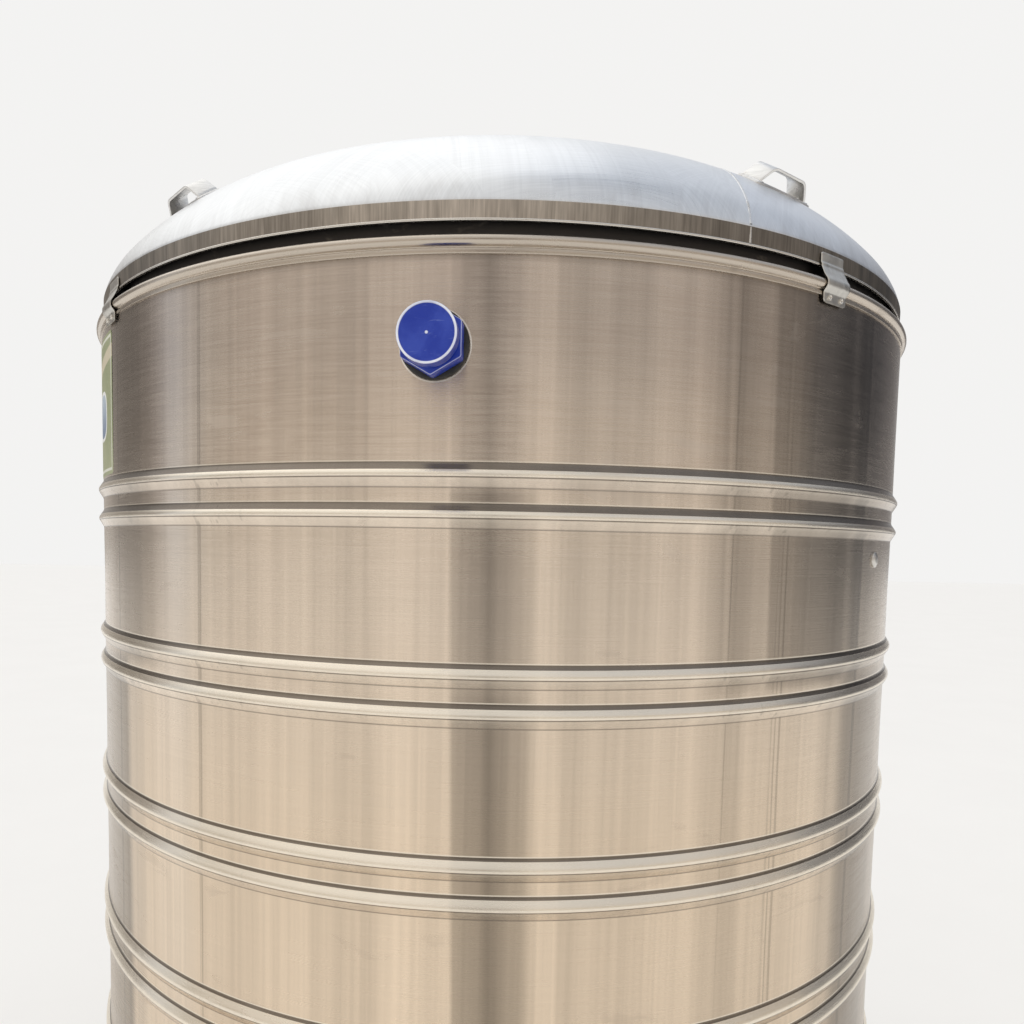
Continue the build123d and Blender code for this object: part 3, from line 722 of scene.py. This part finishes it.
# ---- dome ---------------------------------------------------------------------
prof = [(SKIRT_R - 0.3 * mm, FOLD_Z - 0.6 * mm), (SKIRT_R - 0.02 * mm, FOLD_Z - 0.2 * mm)]
for k, (cr, cz, rad, a0, a1) in enumerate(ARCS):
    n = (10, 20, 30)[k]
    for i in range(n + 1):
        if k and i == 0:
            continue
        a = math.radians(a0 + (a1 - a0) * i / n)
        prof.append((cr + rad * math.sin(a), cz + rad * math.cos(a)))
prof[-1] = (0.0, prof[-1][1])


def dome_shape(az, r, z):
    """Slight hand-formed unevenness, nothing at the fold."""
    p = polar(az, r, 0.0)
    free = smooth(r, SKIRT_R - 0.01, SKIRT_R - 0.09)
    return r, z - (0.0005 + 0.0005 * noise.noise(p * 6.5)) * free


verts, faces = lathe(prof, 288, shape=dome_shape)
for name, side, node, mat in (("roof_sheet_main", 1, "roof_main_sheet", ROOF), ("roof_sheet_side", -1, "roof_side_sheet", ROOF_SIDE_PAINTED_REFLECTION)):
    o = make(name, verts, faces, mat, sharp=None, weld=1e-6)
    bm = bmesh.new()
    bm.from_mesh(o.data)
    bmesh.ops.bisect_plane(bm, geom=bm.verts[:] + bm.edges[:] + bm.faces[:], plane_co=(WELD_X, 0, 0), plane_no=(side, 0, 0), clear_outer=True)
    bm.to_mesh(o.data)
    bm.free()
    for p in o.data.polygons:
        p.use_smooth = True
    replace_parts(ride(o), node)


def strip(name, centre_line, width, height, mat, node=None, ripple=0.12, step=0.0035, seed=0.0):
    """A weld bead along points with normals: [(point, normal)], half round with fine ripples."""
    fine = []
    for (p, n), (q, m2) in zip(centre_line, centre_line[1:]):
        k = max(1, int((q - p).length / step))
        fine += [(p.lerp(q, i / k), n.lerp(m2, i / k).normalized()) for i in range(k)]
    fine.append(centre_line[-1])
    v, f = [], []
    m = 7
    for i, (p, n) in enumerate(fine):
        t = (fine[min(i + 1, len(fine) - 1)][0] - fine[max(i - 1, 0)][0]).normalized()
        s = n.cross(t).normalized()
        w = width / 2 * (1 + ripple * noise.noise(Vector((seed, 1.0, i * 0.35))))
        h = height * (0.9 + ripple * math.sin(i * 1.9) + ripple * noise.noise(Vector((seed + 4, 2.0, i * 0.21))))
        for j in range(m):
            a = math.pi * j / (m - 1)
            v.append(p + s * (-w * math.cos(a)) + n * (h * math.sin(a) - 0.0002))
    for i in range(len(fine) - 1):
        for j in range(m - 1):
            a = i * m + j
            f.append((a, a + m, a + m + 1, a + 1))
    o = make(name, v, f, mat, sharp=None)
    ride(o)
    if node:
        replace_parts(o, node)
    return o


def dome_at_xy(x, y):
    r = min(math.hypot(x, y), SKIRT_R - 0.0002)
    z, slope = dome_point(r)
    az = math.degrees(math.atan2(x, -y))
    _, z2 = dome_shape(az, r, z)
    s = math.radians(slope)
    n = Vector((x / max(r, 1e-6) * math.sin(s), y / max(r, 1e-6) * math.sin(s), math.cos(s)))
    return Vector((x, y, z2)), n


ymax = math.sqrt((SKIRT_R - 0.0006) ** 2 - WELD_X ** 2)
strip("roof_chord_weld", [dome_at_xy(WELD_X, -ymax + 2 * ymax * i / 160) for i in range(161)], 0.0034, 0.0008, WELD, "roof_weld", 0.10)
# the same seam down the skirt, front and back
seam_az = math.degrees(math.asin(WELD_X / SKIRT_R))
for tag, az in (("front", seam_az), ("back", 180 - seam_az)):
    n = polar(az, 1.0, 0.0)
    strip("skirt_seam_%s" % tag, [(polar(az, SKIRT_R - 0.0003, SKIRT_Z1 - 0.0005), n), (polar(az, SKIRT_R - 0.0003, HEM_Z1 + 0.0004), n)], 0.0030, 0.0006, WELD, None, 0.1, 0.002, 7.0)

# ---- lifting lugs ----------------------------------------------------------------
LUG_L, LUG_H, LUG_IN, LUG_W, LUG_T = 0.088, 0.019, 0.014, 0.028, 0.003


def sweep_bar(path, normals, width_dir, width, thick, corner=0.0007, taper=None):
    """A flat bar along a path: section across width_dir and the path's normal, with rounded edges."""
    w, t = width / 2, thick / 2
    sec = []
    for sx, sy, a0 in ((1, 1, 0), (-1, 1, 90), (-1, -1, 180), (1, -1, 270)):
        for i in range(4):
            a = math.radians(a0 + 30 * i)
            sec.append((sx * (w - corner) + corner * math.cos(a), sy * (t - corner) + corner * math.sin(a)))
    v, f, k = [], [], len(sec)
    for p, n in zip(path, normals):
        for a, b in sec:
            v.append(p + width_dir * a + n * b)
    for i in range(len(path) - 1):
        for j in range(k):
            a, b = i * k + j, i * k + (j + 1) % k
            f.append((a, b, b + k, a + k))
    f.append(tuple(range(k))[::-1])
    f.append(tuple(range((len(path) - 1) * k, len(path) * k)))
    return v, f


for tag in ("right_front", "right_back", "left_back", "left_front"):
    az, _, _ = spot("lifting_lug_" + tag)
    lr = 0.515
    z0, slope = dome_point(lr)
    place = frame_at(az, lr, z0, slope)
    # curved pad
    nu, nv, pw, pl, pt = 14, 38, 0.018, 0.050, 0.0020
    pv, pf = [], []
    for i in range(nu + 1):
        for j in range(nv + 1):
            u, v = -1 + 2 * i / nu, -1 + 2 * j / nv
            # rows gather near the edge so that its rounding is crisp
            u, v = math.copysign(1 - (1 - abs(u)) ** 1.8, u), math.copysign(1 - (1 - abs(v)) ** 1.8, v)
            a, b = u * pw, v * pl
            ex, ey = pw - abs(a), pl - abs(b)
            if ex < 0.004 and ey < 0.004:      # rounded corner
                cx, cy = 0.004 - ex, 0.004 - ey
                d = math.hypot(cx, cy)
                if max(cx, cy) > 1e-9:
                    k = max(cx, cy) / d
                    cx, cy = cx * k, cy * k
                a, b = math.copysign(pw - 0.004 + cx, a), math.copysign(pl - 0.004 + cy, b)
            e = min(ex, ey)
            h = pt * math.sqrt(max(0.0, 1 - (1 - min(e / 0.0014, 1.0)) ** 2)) - 0.0004
            q = place @ Vector((a, b, 0))
            s, n = dome_at_xy(q.x, q.y)
            pv.append(s + n * (h + 0.0004))
    for i in range(nu):
        for j in range(nv):
            a = i * (nv + 1) + j
            pf.append((a, a + nv + 1, a + nv + 2, a + 1))
    pad = make("lug_pad_" + tag, pv, pf, PLATE, sharp=None)
    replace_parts(ride(pad), "lug_plate_" + tag)
    # strap: up, over, down, its bends rounded; legs run down into the pad
    hl = LUG_L / 2 - LUG_T / 2
    pts = [(-hl, -0.0045), (-hl, 0.0015), (-hl + LUG_IN, LUG_H - LUG_T / 2), (hl - LUG_IN, LUG_H - LUG_T / 2), (hl, 0.0015), (hl, -0.0045)]
    pts = round_line(pts, 0.0062, 7)
    path, nrm = [], []
    for i, (b, h) in enumerate(pts):
        p0, p1 = Vector(pts[max(i - 1, 0)]), Vector(pts[min(i + 1, len(pts) - 1)])
        t = (p1 - p0).normalized()
        path.append(Vector((0, b, h)))
        nrm.append(Vector((0, -t.y, t.x)))
    v, f = sweep_bar(path, nrm, Vector((1, 0, 0)), LUG_W, LUG_T, 0.0006)
    lug = make("lug_strap_" + tag, [place @ p for p in v], f, LUG, sharp=40.0)
    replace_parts(ride(lug), "lifting_lug_" + tag)
    # fillet welds round each foot
    for side in (-1, 1):
        loop = []
        c = side * hl
        corners = [(-LUG_W / 2 - 0.0006, c - 0.0022), (LUG_W / 2 + 0.0006, c - 0.0022), (LUG_W / 2 + 0.0006, c + 0.0024), (-LUG_W / 2 - 0.0006, c + 0.0024), (-LUG_W / 2 - 0.0006, c - 0.0022)]
        for (a0, b0), (a1, b1) in zip(corners, corners[1:]):
            for i in range(8):
                q = place @ Vector((a0 + (a1 - a0) * i / 8, b0 + (b1 - b0) * i / 8, 0))
                s, n = dome_at_xy(q.x, q.y)
                loop.append((s + n * 0.0018, n))
        loop.append(loop[0])
        strip("lug_weld_%s_%s" % (tag, "a" if side < 0 else "b"), loop, 0.0038, 0.0014, WELD, None, 0.16, 0.0016, az + side)

# ---- lid clips ---------------------------------------------------------------------
# middle line of the strap as (distance from the wall, height)
T = 0.0015
clip_mid = [(SKIRT_R - R + 0.85 * mm, SKIRT_Z1 - 4.9 * mm), (SKIRT_R - R + 0.85 * mm, HEM_Z1 + 1.4 * mm), (HEM_R - R + 0.90 * mm, HEM_Z0 + 2.4 * mm), (HEM_R - R + 1.0 * mm, HEM_Z0 - 0.6 * mm),
            (3.8 * mm, RIM_Z1 + 2.7 * mm), (7.05 * mm, RIM_Z1 - 1.9 * mm), (7.05 * mm, RIM_Z1 - 8.2 * mm), (3.2 * mm, RIM_Z1 - 13.0 * mm), (2.45 * mm, RIM_Z1 - 15.0 * mm), (2.45 * mm, RIM_Z1 - 24.7 * mm)]
clip_line = round_line(clip_mid, 0.0022, 4)
# resample evenly, keeping the bends
dense = [clip_line[0]]
for p, q in zip(clip_line, clip_line[1:]):
    k = max(1, int(math.dist(p, q) / 0.0011))
    dense += [(p[0] + (q[0] - p[0]) * i / k, p[1] + (q[1] - p[1]) * i / k) for i in range(1, k + 1)]
length = [0.0]
for p, q in zip(dense, dense[1:]):
    length.append(length[-1] + math.dist(p, q))
total = length[-1]


def clip_half_width(s, z):
    """Half width of the strap along its length: rounded ends, a lip where it flares over the gap."""
    w = 0.0205
    end = min(s, total - s)
    rad = 0.0042 if total - s < s else 0.0020
    if end < rad:
        w -= rad - math.sqrt(max(0.0, rad ** 2 - (rad - end) ** 2))
    lip = math.exp(-((z - (RIM_Z1 + 0.0055)) / 0.0035) ** 2)
    return w + 0.0005 * lip


for tag in ("right_front", "right_back", "left_back", "left_front"):
    az, _, _ = spot("roof_clip_" + tag)
    place = frame_at(az, R, 0.0)
    nw = 16
    front, back = [], []
    for i, (x, z) in enumerate(dense):
        p0, p1 = Vector(dense[max(i - 1, 0)]), Vector(dense[min(i + 1, len(dense) - 1)])
        t = (p1 - p0).normalized()
        n = Vector((-t.y, t.x)) if (Vector((-t.y, t.x))).x > 0 else Vector((t.y, -t.x))
        w = clip_half_width(length[i], z)
        for j in range(nw + 1):
            f = -1 + 2 * j / nw
            f = math.copysign(1 - (1 - abs(f)) ** 1.7, f)
            y = f * w
            # hammered unevenness on the upper leg, a slight bow across the width
            seed = Vector((az * 0.1, y * 160, z * 160))
            dent = 0.00022 * noise.noise(seed) * smooth(z, RIM_Z1 + 0.008, RIM_Z1 + 0.014)
            bow = -0.0002 * (y / 0.021) ** 2
            edge = min(1.0, (w - abs(y)) / 0.0006, max(1e-4, min(length[i], total - length[i])) / 0.0006)
            half = T / 2 * math.sqrt(max(0.02, 1 - (1 - edge) ** 2)) * 0.98
            front.append(place @ Vector((x + n.x * half + dent * 0.6 + bow + 0.0001, y, z + n.y * half)))
            back.append(place @ Vector((x - n.x * half + dent * 0.6 + bow + 0.0001, y, z - n.y * half)))
    k = nw + 1
    count = len(dense) * k
    verts, faces = front + back, []
    for i in range(len(dense) - 1):
        for j in range(nw):
            a = i * k + j
            faces.append((a, a + k, a + k + 1, a + 1))
            faces.append((count + a, count + a + 1, count + a + k + 1, count + a + k))
    for i in range(len(dense) - 1):
        a, b = i * k, i * k + nw
        faces.append((a, count + a, count + a + k, a + k))
        faces.append((b, b + k, count + b + k, count + b))
    for j in range(nw):
        faces.append((j, j + 1, count + j + 1, count + j))
        a = (len(dense) - 1) * k + j
        faces.append((a + 1, a, count + a, count + a + 1))
    o = make("lid_clip_" + tag, verts, faces, CLIP, sharp=50.0)
    bm = bmesh.new()
    bm.from_mesh(o.data)
    bmesh.ops.recalc_face_normals(bm, faces=bm.faces)
    bm.to_mesh(o.data)
    bm.free()
    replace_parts(ride(o), "roof_clip_" + tag)


def turned(matrix, prof, n=48):
    """A small turned shape about local X: prof is (radius, distance along X)."""
    v, f, k = [], [], len(prof)
    for i in range(n):
        a = 2 * math.pi * i / n
        for r, x in prof:
            v.append(matrix @ Vector((x, r * math.cos(a), r * math.sin(a))))
    for i in range(n):
        a, b = i * k, ((i + 1) % n) * k
        for j in range(k - 1):
            f.append((a + j, b + j, b + j + 1, a + j + 1))
    return v, f


def merge(parts):
    v, f = [], []
    for a, b in parts:
        n = len(v)
        v += a
        f += [tuple(i + n for i in q) for q in b]
    return v, f


def turned_piece(name, parts, mat, nodes=(), sharp=34.0):
    v, f = merge(parts)
    o = make(name, v, f, mat, sharp=sharp, weld=1e-7)
    bm = bmesh.new()
    bm.from_mesh(o.data)
    bmesh.ops.recalc_face_normals(bm, faces=bm.faces)
    bm.to_mesh(o.data)
    bm.free()
    ride(o)
    if nodes:
        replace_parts(o, *nodes)
    return o


# tubular rivets of the clips
bolt_z = sum(zspan("clip_bolts")) / 2
rivet = [(0.0, 0.0004), (0.0011, 0.0004), (0.0015, 0.0006), (0.0018, 0.0011), (0.0021, 0.0014), (0.0025, 0.0015), (0.0029, 0.0013), (0.0031, 0.0009), (0.0032, 0.0003), (0.0032, -0.0003)]
parts = []
for tag in ("right_front", "right_back", "left_back", "left_front"):
    az, _, _ = spot("roof_clip_" + tag)
    for side in (-0.5, 0.5):
        m = frame_at(az, R + 2.45 * mm + T / 2 + 0.0002, bolt_z) @ Matrix.Translation((0, side * 0.021, 0))
        parts.append(turned(m, rivet, 32))
turned_piece("clip_rivets", parts, BOLT, ["clip_bolts"])

# ---- plugged inlet ------------------------------------------------------------------
iaz, _, iz = spot("inlet_gasket")
ip = frame_at(iaz, R, iz)
gasket = [(0.0243, 0.0058), (0.0248, 0.0060), (0.0312, 0.0060), (0.0322, 0.0057), (0.0328, 0.0050), (0.0330, 0.0040), (0.0330, 0.0012), (0.0327, 0.0002), (0.0318, -0.0006)]
turned_piece("inlet_gasket_ring", [turned(ip, gasket, 96)], RUBBER, ["inlet_gasket"])

# plug: hexagon, neck, round head with a rolled edge and a moulding nib
hexr = 0.0325


def hex_ring(x, inset, corner=0.0016, per=6):
    """Points round a hexagon with rounded corners, one corner pointing down."""
    out = []
    rr = hexr - inset
    c = [Vector((rr * math.cos(math.radians(-90 + 60 * i)), rr * math.sin(math.radians(-90 + 60 * i)))) for i in range(6)]
    for i in range(6):
        p, q, s = c[i - 1], c[i], c[(i + 1) % 6]
        a, b = q + (p - q).normalized() * corner, q + (s - q).normalized() * corner
        for k in range(per + 1):
            f = k / per
            w = a * (1 - f) ** 2 + q * 2 * f * (1 - f) + b * f * f
            out.append(Vector((x, w.x, w.y)))
        mid = (b + (c[(i + 1) % 6] + (q - c[(i + 1) % 6]).normalized() * corner)) / 2
        out.append(Vector((x, mid.x, mid.y)))
    return out


hex_steps = [(0.0062, 0.0016), (0.0063, 0.0008), (0.0067, 0.0002), (0.0074, 0.0), (0.0228, 0.0), (0.0234, 0.0002), (0.0238, 0.0008), (0.0240, 0.0018)]
rings = [hex_ring(x, i) for x, i in hex_steps]
k = len(rings[0])
v, f = [ip @ p for r_ in rings for p in r_], []
for i in range(len(rings) - 1):
    for j in range(k):
        f.append((i * k + j, i * k + (j + 1) % k, (i + 1) * k + (j + 1) % k, (i + 1) * k + j))
f.append(tuple(range(k))[::-1])
f.append(tuple(range((len(rings) - 1) * k, len(rings) * k)))
head = [(0.0, 0.0448), (0.0009, 0.0448), (0.0013, 0.0444), (0.0016, 0.0438), (0.0020, 0.04365), (0.0060, 0.04360), (0.0235, 0.04345), (0.0243, 0.0436), (0.0249, 0.0442), (0.0254, 0.04475), (0.0260, 0.0450), (0.0266, 0.0449),
        (0.0271, 0.0445), (0.0274, 0.0438), (0.0275, 0.0430), (0.0275, 0.0305), (0.0273, 0.0297), (0.0268, 0.0291), (0.0258, 0.0290), (0.0236, 0.0290), (0.0234, 0.0286), (0.0235, 0.0238)]
plug = turned_piece("inlet_plug_head", [(v, f), turned(ip, head, 96)], PLUG, ["inlet_plug"], sharp=38.0)
inv = ip.inverted()
# painted highlights on the head's rim and the hexagon's edges, and the pale gate mark in the middle
worn = []
for vert in plug.data.vertices:
    q = inv @ vert.co
    d = math.hypot(q.y, q.z)
    if q.x > 0.0442 and 0.0253 < d < 0.0273:
        worn.append(1.0)
    elif q.x > 0.0443 and d < 0.0014:
        worn.append(0.9)
    elif 0.02335 < q.x < 0.0236 and d > 0.0265:
        worn.append(0.85)
    elif 0.0288 < q.x < 0.0299 and d > 0.0266:
        worn.append(0.7)
    else:
        worn.append(0.0)
plug.data.attributes.new("edge_highlight_gate", "FLOAT", "POINT").data.foreach_set("value", worn)

# ---- outlet --------------------------------------------------------------------------
oaz, _, oz = spot("outlet_collar")
op = frame_at(oaz, R, oz)
thread = []
x = 0.0405
bore = 0.0240
while x > 0.010:
    thread += [(bore + 0.0010, x), (bore + 0.0002, x - 0.0009), (bore + 0.0001, x - 0.0012)]
    x -= 0.0023
socket = [(0.0262, -0.0035), (0.0250, 0.002), (0.0243, 0.008)] + thread[::-1] + [(0.0247, 0.0414), (0.0255, 0.0420), (0.0284, 0.0420), (0.0291, 0.0417), (0.0295, 0.0410), (0.0295, 0.0030), (0.0295, -0.0025)]
turned_piece("outlet_socket_turned", [turned(op, socket, 96)], FITTING, ["outlet_socket"], sharp=40.0)
# collar pressed to the round wall
cv, cf, n = [], [], 96
cprof = [(0.0294, 0.0024), (0.0300, 0.0025), (0.0372, 0.0025), (0.0382, 0.0022), (0.0388, 0.0015), (0.0390, 0.0006), (0.0390, -0.0004)]
for i in range(n):
    a = 2 * math.pi * i / n
    for r_, h in cprof:
        y, z = r_ * math.cos(a), r_ * math.sin(a)
        rr = R + h
        xx = math.sqrt(rr * rr - y * y) - R
        cv.append(op @ Vector((xx, y, z)))
kk = len(cprof)
for i in range(n):
    a, b = i * kk, ((i + 1) % n) * kk
    for j in range(kk - 1):
        cf.append((a + j, b + j, b + j + 1, a + j + 1))
turned_piece("outlet_collar_plate", [(cv, cf)], FITTING, ["outlet_collar"], sharp=40.0)


def round_weld(name, place, radius, lift, width, height, seed):
    loop = []
    for i in range(49):
        a = 2 * math.pi * i / 48
        y, z = radius * math.cos(a), radius * math.sin(a)
        rr = R + lift
        xx = math.sqrt(rr * rr - y * y) - R
        n = Vector((1.0, y / rr, 0.0))
        # lean the bead into the corner
        n = (n + Vector((0, math.cos(a), math.sin(a))) * 0.8).normalized()
        loop.append((place @ Vector((xx, y, z)), (place.to_3x3() @ n).normalized()))
    strip(name, loop, width, height, WELD, None, 0.14, 0.0022, seed)


round_weld("outlet_inner_weld", op, 0.0297, 0.0026, 0.0034, 0.0014, 3.0)
round_weld("outlet_outer_weld", op, 0.0392, 0.0002, 0.0030, 0.0010, 5.0)

# ---- stud and label ---------------------------------------------------------------------
saz, _, sz = spot("side_stud")
sp = frame_at(saz, R, sz)
stud = [(0.0, 0.0032), (0.0045, 0.0032), (0.0060, 0.0030), (0.0067, 0.0025), (0.0070, 0.0021), (0.0086, 0.0020), (0.0092, 0.0016), (0.0095, 0.0008), (0.0095, -0.0004)]
turned_piece("side_stud_turned", [turned(sp, stud, 64)], FITTING, ["side_stud"], sharp=50.0)

laz, _, _ = spot("side_label")
lz0, lz1 = zspan("side_label")
verts, faces, nu, nv = [], [], 24, 30
cut = 0.006
for i in range(nu + 1):
    for j in range(nv + 1):
        u, v = -1 + 2 * i / nu, -1 + 2 * j / nv
        u, v = math.copysign(1 - (1 - abs(u)) ** 1.5, u), math.copysign(1 - (1 - abs(v)) ** 1.5, v)
        w, h = math.radians(7.15) * R, (lz1 - lz0) / 2
        a, b = u * w, v * h
        ex, ey = w - abs(a), h - abs(b)
        if ex < cut and ey < cut:
            cx, cy = cut - ex, cut - ey
            d = math.hypot(cx, cy)
            k = max(cx, cy) / d
            a, b = math.copysign(w - cut + cx * k, a), math.copysign(h - cut + cy * k, b)
        edge = min(ex, ey)
        lift = 0.00035 * smooth(edge, 0.0, 0.0006) + 0.00003 * noise.noise(Vector((a * 120, b * 120, 1)))
        verts.append(polar(laz + math.degrees(a / R), R + lift, (lz0 + lz1) / 2 + b))
for i in range(nu):
    for j in range(nv):
        a = i * (nv + 1) + j
        faces.append((a, a + nv + 1, a + nv + 2, a + 1))
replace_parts(ride(make("side_label_film", verts, faces, LABEL, sharp=None)), "side_label")

# ---- CAD nodes that stay ---------------------------------------------------------------
for node, mat in (("base_plate", BASE), ("inlet_socket", FITTING)):
    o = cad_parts[node]
    o.data.materials.clear() if not o.material_slots else None
    if not o.material_slots:
        o.data.materials.append(mat)
    for s in o.material_slots:
        s.material = mat

# ---- stage ------------------------------------------------------------------------------
fm = Mat("floor_pale", (0.84, 0.82, 0.79), 0.0, 0.75)
fn = fm.noise((1.3, 1.3, 1.3), 4.0, 0.6)
ff = fm.noise((60.0, 60.0, 60.0), 3.0, 0.6)
fm.base(fm.mix(fm.span(fn, 0.3, 0.7), (0.850, 0.845, 0.835), (0.862, 0.857, 0.847)))
fm.rough(fm.span(ff, 0.3, 0.7, 0.7, 0.85, "LINEAR"))
fm.normal(fm.bump(ff, 0.05, 0.0005))
verts, faces, n = [], [], 24
for i in range(n + 1):
    for j in range(n + 1):
        verts.append(Vector((-40 + 80 * i / n, -40 + 80 * j / n, 0.0)))
for i in range(n):
    for j in range(n):
        a = i * (n + 1) + j
        faces.append((a, a + n + 1, a + n + 2, a + 1))
floor = make("floor_plane", verts, faces, fm.m, sharp=None)

# ---- light ---------------------------------------------------------------------------------
world = bpy.data.worlds.new("studio")
bpy.context.scene.world = world
world.use_nodes = True
nt = world.node_tree
nt.nodes.clear()


def wn(kind, **props):
    node = nt.nodes.new(kind)
    for k_, v_ in props.items():
        setattr(node, k_, v_)
    return node


def wl(a, b):
    nt.links.new(a, b)


def wmath(op, a, b=0.0, clamp=False):
    node = wn("ShaderNodeMath", operation=op, use_clamp=clamp)
    for s, val in zip(node.inputs, (a, b)):
        if isinstance(val, bpy.types.NodeSocket):
            wl(val, s)
        else:
            s.default_value = val
    return node.outputs[0]


def wramp(v, stops, kind="EASE"):
    node = wn("ShaderNodeValToRGB")
    node.color_ramp.interpolation = kind
    els = node.color_ramp.elements
    while len(els) < len(stops):
        els.new(0.5)
    for e, (p, c) in zip(els, stops):
        e.position = p
        e.color = (*c, 1)
    wl(v, node.inputs[0])
    return node.outputs["Color"]


def wmix(f, a, b):
    node = wn("ShaderNodeMix", data_type="RGBA")
    for s, val in ((node.inputs["Factor"], f), (node.inputs[6], a), (node.inputs[7], b)):
        if isinstance(val, bpy.types.NodeSocket):
            wl(val, s)
        else:
            s.default_value = val if not isinstance(val, tuple) else (*val, 1)
    return node.outputs[2]


tc = wn("ShaderNodeTexCoord")
sep = wn("ShaderNodeSeparateXYZ")
wl(tc.outputs["Generated"], sep.inputs[0])
dx, dy, dz = sep.outputs
turn = wmath("ADD", wmath("MULTIPLY", wmath("ARCTAN2", dx, wmath("MULTIPLY", dy, -1.0)), 1 / (2 * math.pi)), 0.5)
# tall soft panels and the gaps between them, low in the room; 0.5 is the front
low = wramp(turn, [
    (0.00, (0.95, 0.94, 0.92)), (0.10, (0.45, 0.42, 0.39)), (0.17, (0.26, 0.24, 0.22)), (0.215, (0.30, 0.28, 0.27)), (0.240, (0.62, 0.64, 0.68)), (0.262, (0.58, 0.58, 0.58)), (0.275, (0.48, 0.45, 0.41)),
    (0.31, (0.52, 0.47, 0.42)), (0.37, (0.60, 0.55, 0.49)), (0.47, (0.64, 0.58, 0.52)), (0.483, (0.36, 0.32, 0.29)), (0.507, (0.34, 0.30, 0.27)), (0.53, (0.66, 0.60, 0.53)),
    (0.58, (0.58, 0.53, 0.47)), (0.66, (0.60, 0.54, 0.48)), (0.70, (0.48, 0.43, 0.38)), (0.735, (0.44, 0.40, 0.36)), (0.75, (0.20, 0.20, 0.21)), (0.83, (0.12, 0.12, 0.13)),
    (0.88, (0.20, 0.19, 0.19)), (0.93, (0.50, 0.49, 0.48)), (1.00, (0.95, 0.94, 0.92))])
sky = wramp(turn, [
    (0.00, (0.96, 0.97, 0.98)), (0.20, (0.98, 0.98, 0.97)), (0.35, (0.95, 0.94, 0.92)), (0.50, (0.84, 0.84, 0.84)), (0.62, (0.66, 0.68, 0.72)),
    (0.78, (0.54, 0.58, 0.65)), (0.90, (0.72, 0.76, 0.83)), (1.00, (0.96, 0.97, 0.98))])
up = wmath("SUBTRACT", dz, 0.0)
blend = wn("ShaderNodeMapRange", interpolation_type="SMOOTHSTEP")
for s, val in zip(blend.inputs, (None, 0.25, 0.70, 0.0, 1.0)):
    if val is not None:
        s.default_value = val
wl(up, blend.inputs[0])
room = wmix(blend.outputs[0], low, sky)
path = wn("ShaderNodeLightPath")
soft = wmix(path.outputs["Is Diffuse Ray"], room, (1.00, 0.99, 0.975))
seen = wmix(path.outputs["Is Camera Ray"], soft, (0.90, 0.895, 0.885))
bg = wn("ShaderNodeBackground")
wl(seen, bg.inputs["Color"])
bg.inputs["Strength"].default_value = 1.0
wo = wn("ShaderNodeOutputWorld")
wl(bg.outputs[0], wo.inputs["Surface"])


def softbox(name, place, aim, size, power, colour=(1, 1, 1)):
    data = bpy.data.lights.new(name, "AREA")
    data.shape = "RECTANGLE"
    data.size, data.size_y = size
    data.energy = power
    data.color = colour
    o = bpy.data.objects.new(name, data)
    o.location = place
    o.rotation_mode = "QUATERNION"
    o.rotation_quaternion = (Vector(aim) - Vector(place)).to_track_quat("-Z", "Y")
    o.visible_camera = False
    bpy.context.scene.collection.objects.link(o)
    return o


sun = bpy.data.lights.new("soft_sun", "SUN")
sun.energy = 0.32
sun.angle = math.radians(70)
sun.color = (1.0, 0.99, 0.97)
so = bpy.data.objects.new("soft_sun", sun)
so.rotation_mode = "QUATERNION"
so.rotation_quaternion = Vector((0.45, -0.35, -1.0)).to_track_quat("-Z", "Y")
so.location = (-2, 2, 6)
bpy.context.scene.collection.objects.link(so)

# ---- camera ----------------------------------------------------------------------------------
cam = bpy.data.cameras.new("camera")
cam.sensor_width = 36.0
cam.lens = 27.404
cam.shift_x, cam.shift_y = 0.03125, 0.08496
cam.clip_start, cam.clip_end = 0.01, 200.0
yaw, pitch, roll = -0.0163, -0.0694, 0.0194
F = Vector((math.sin(yaw) * math.cos(pitch), math.cos(yaw) * math.cos(pitch), math.sin(pitch)))
right = Vector((math.cos(yaw), -math.sin(yaw), 0))
upv = right.cross(F)
r2, u2 = math.cos(roll) * right + math.sin(roll) * upv, -math.sin(roll) * right + math.cos(roll) * upv
camera = bpy.data.objects.new("camera", cam)
bpy.context.scene.collection.objects.link(camera)
basis = Matrix((r2, u2, -F)).transposed().to_4x4()
camera.matrix_world = Matrix.Translation((0.0, -1.3365, 1.5)) @ basis
bpy.context.scene.camera = camera
bpy.context.scene.view_settings.view_transform = "Standard"
bpy.context.scene.view_settings.look = "None"
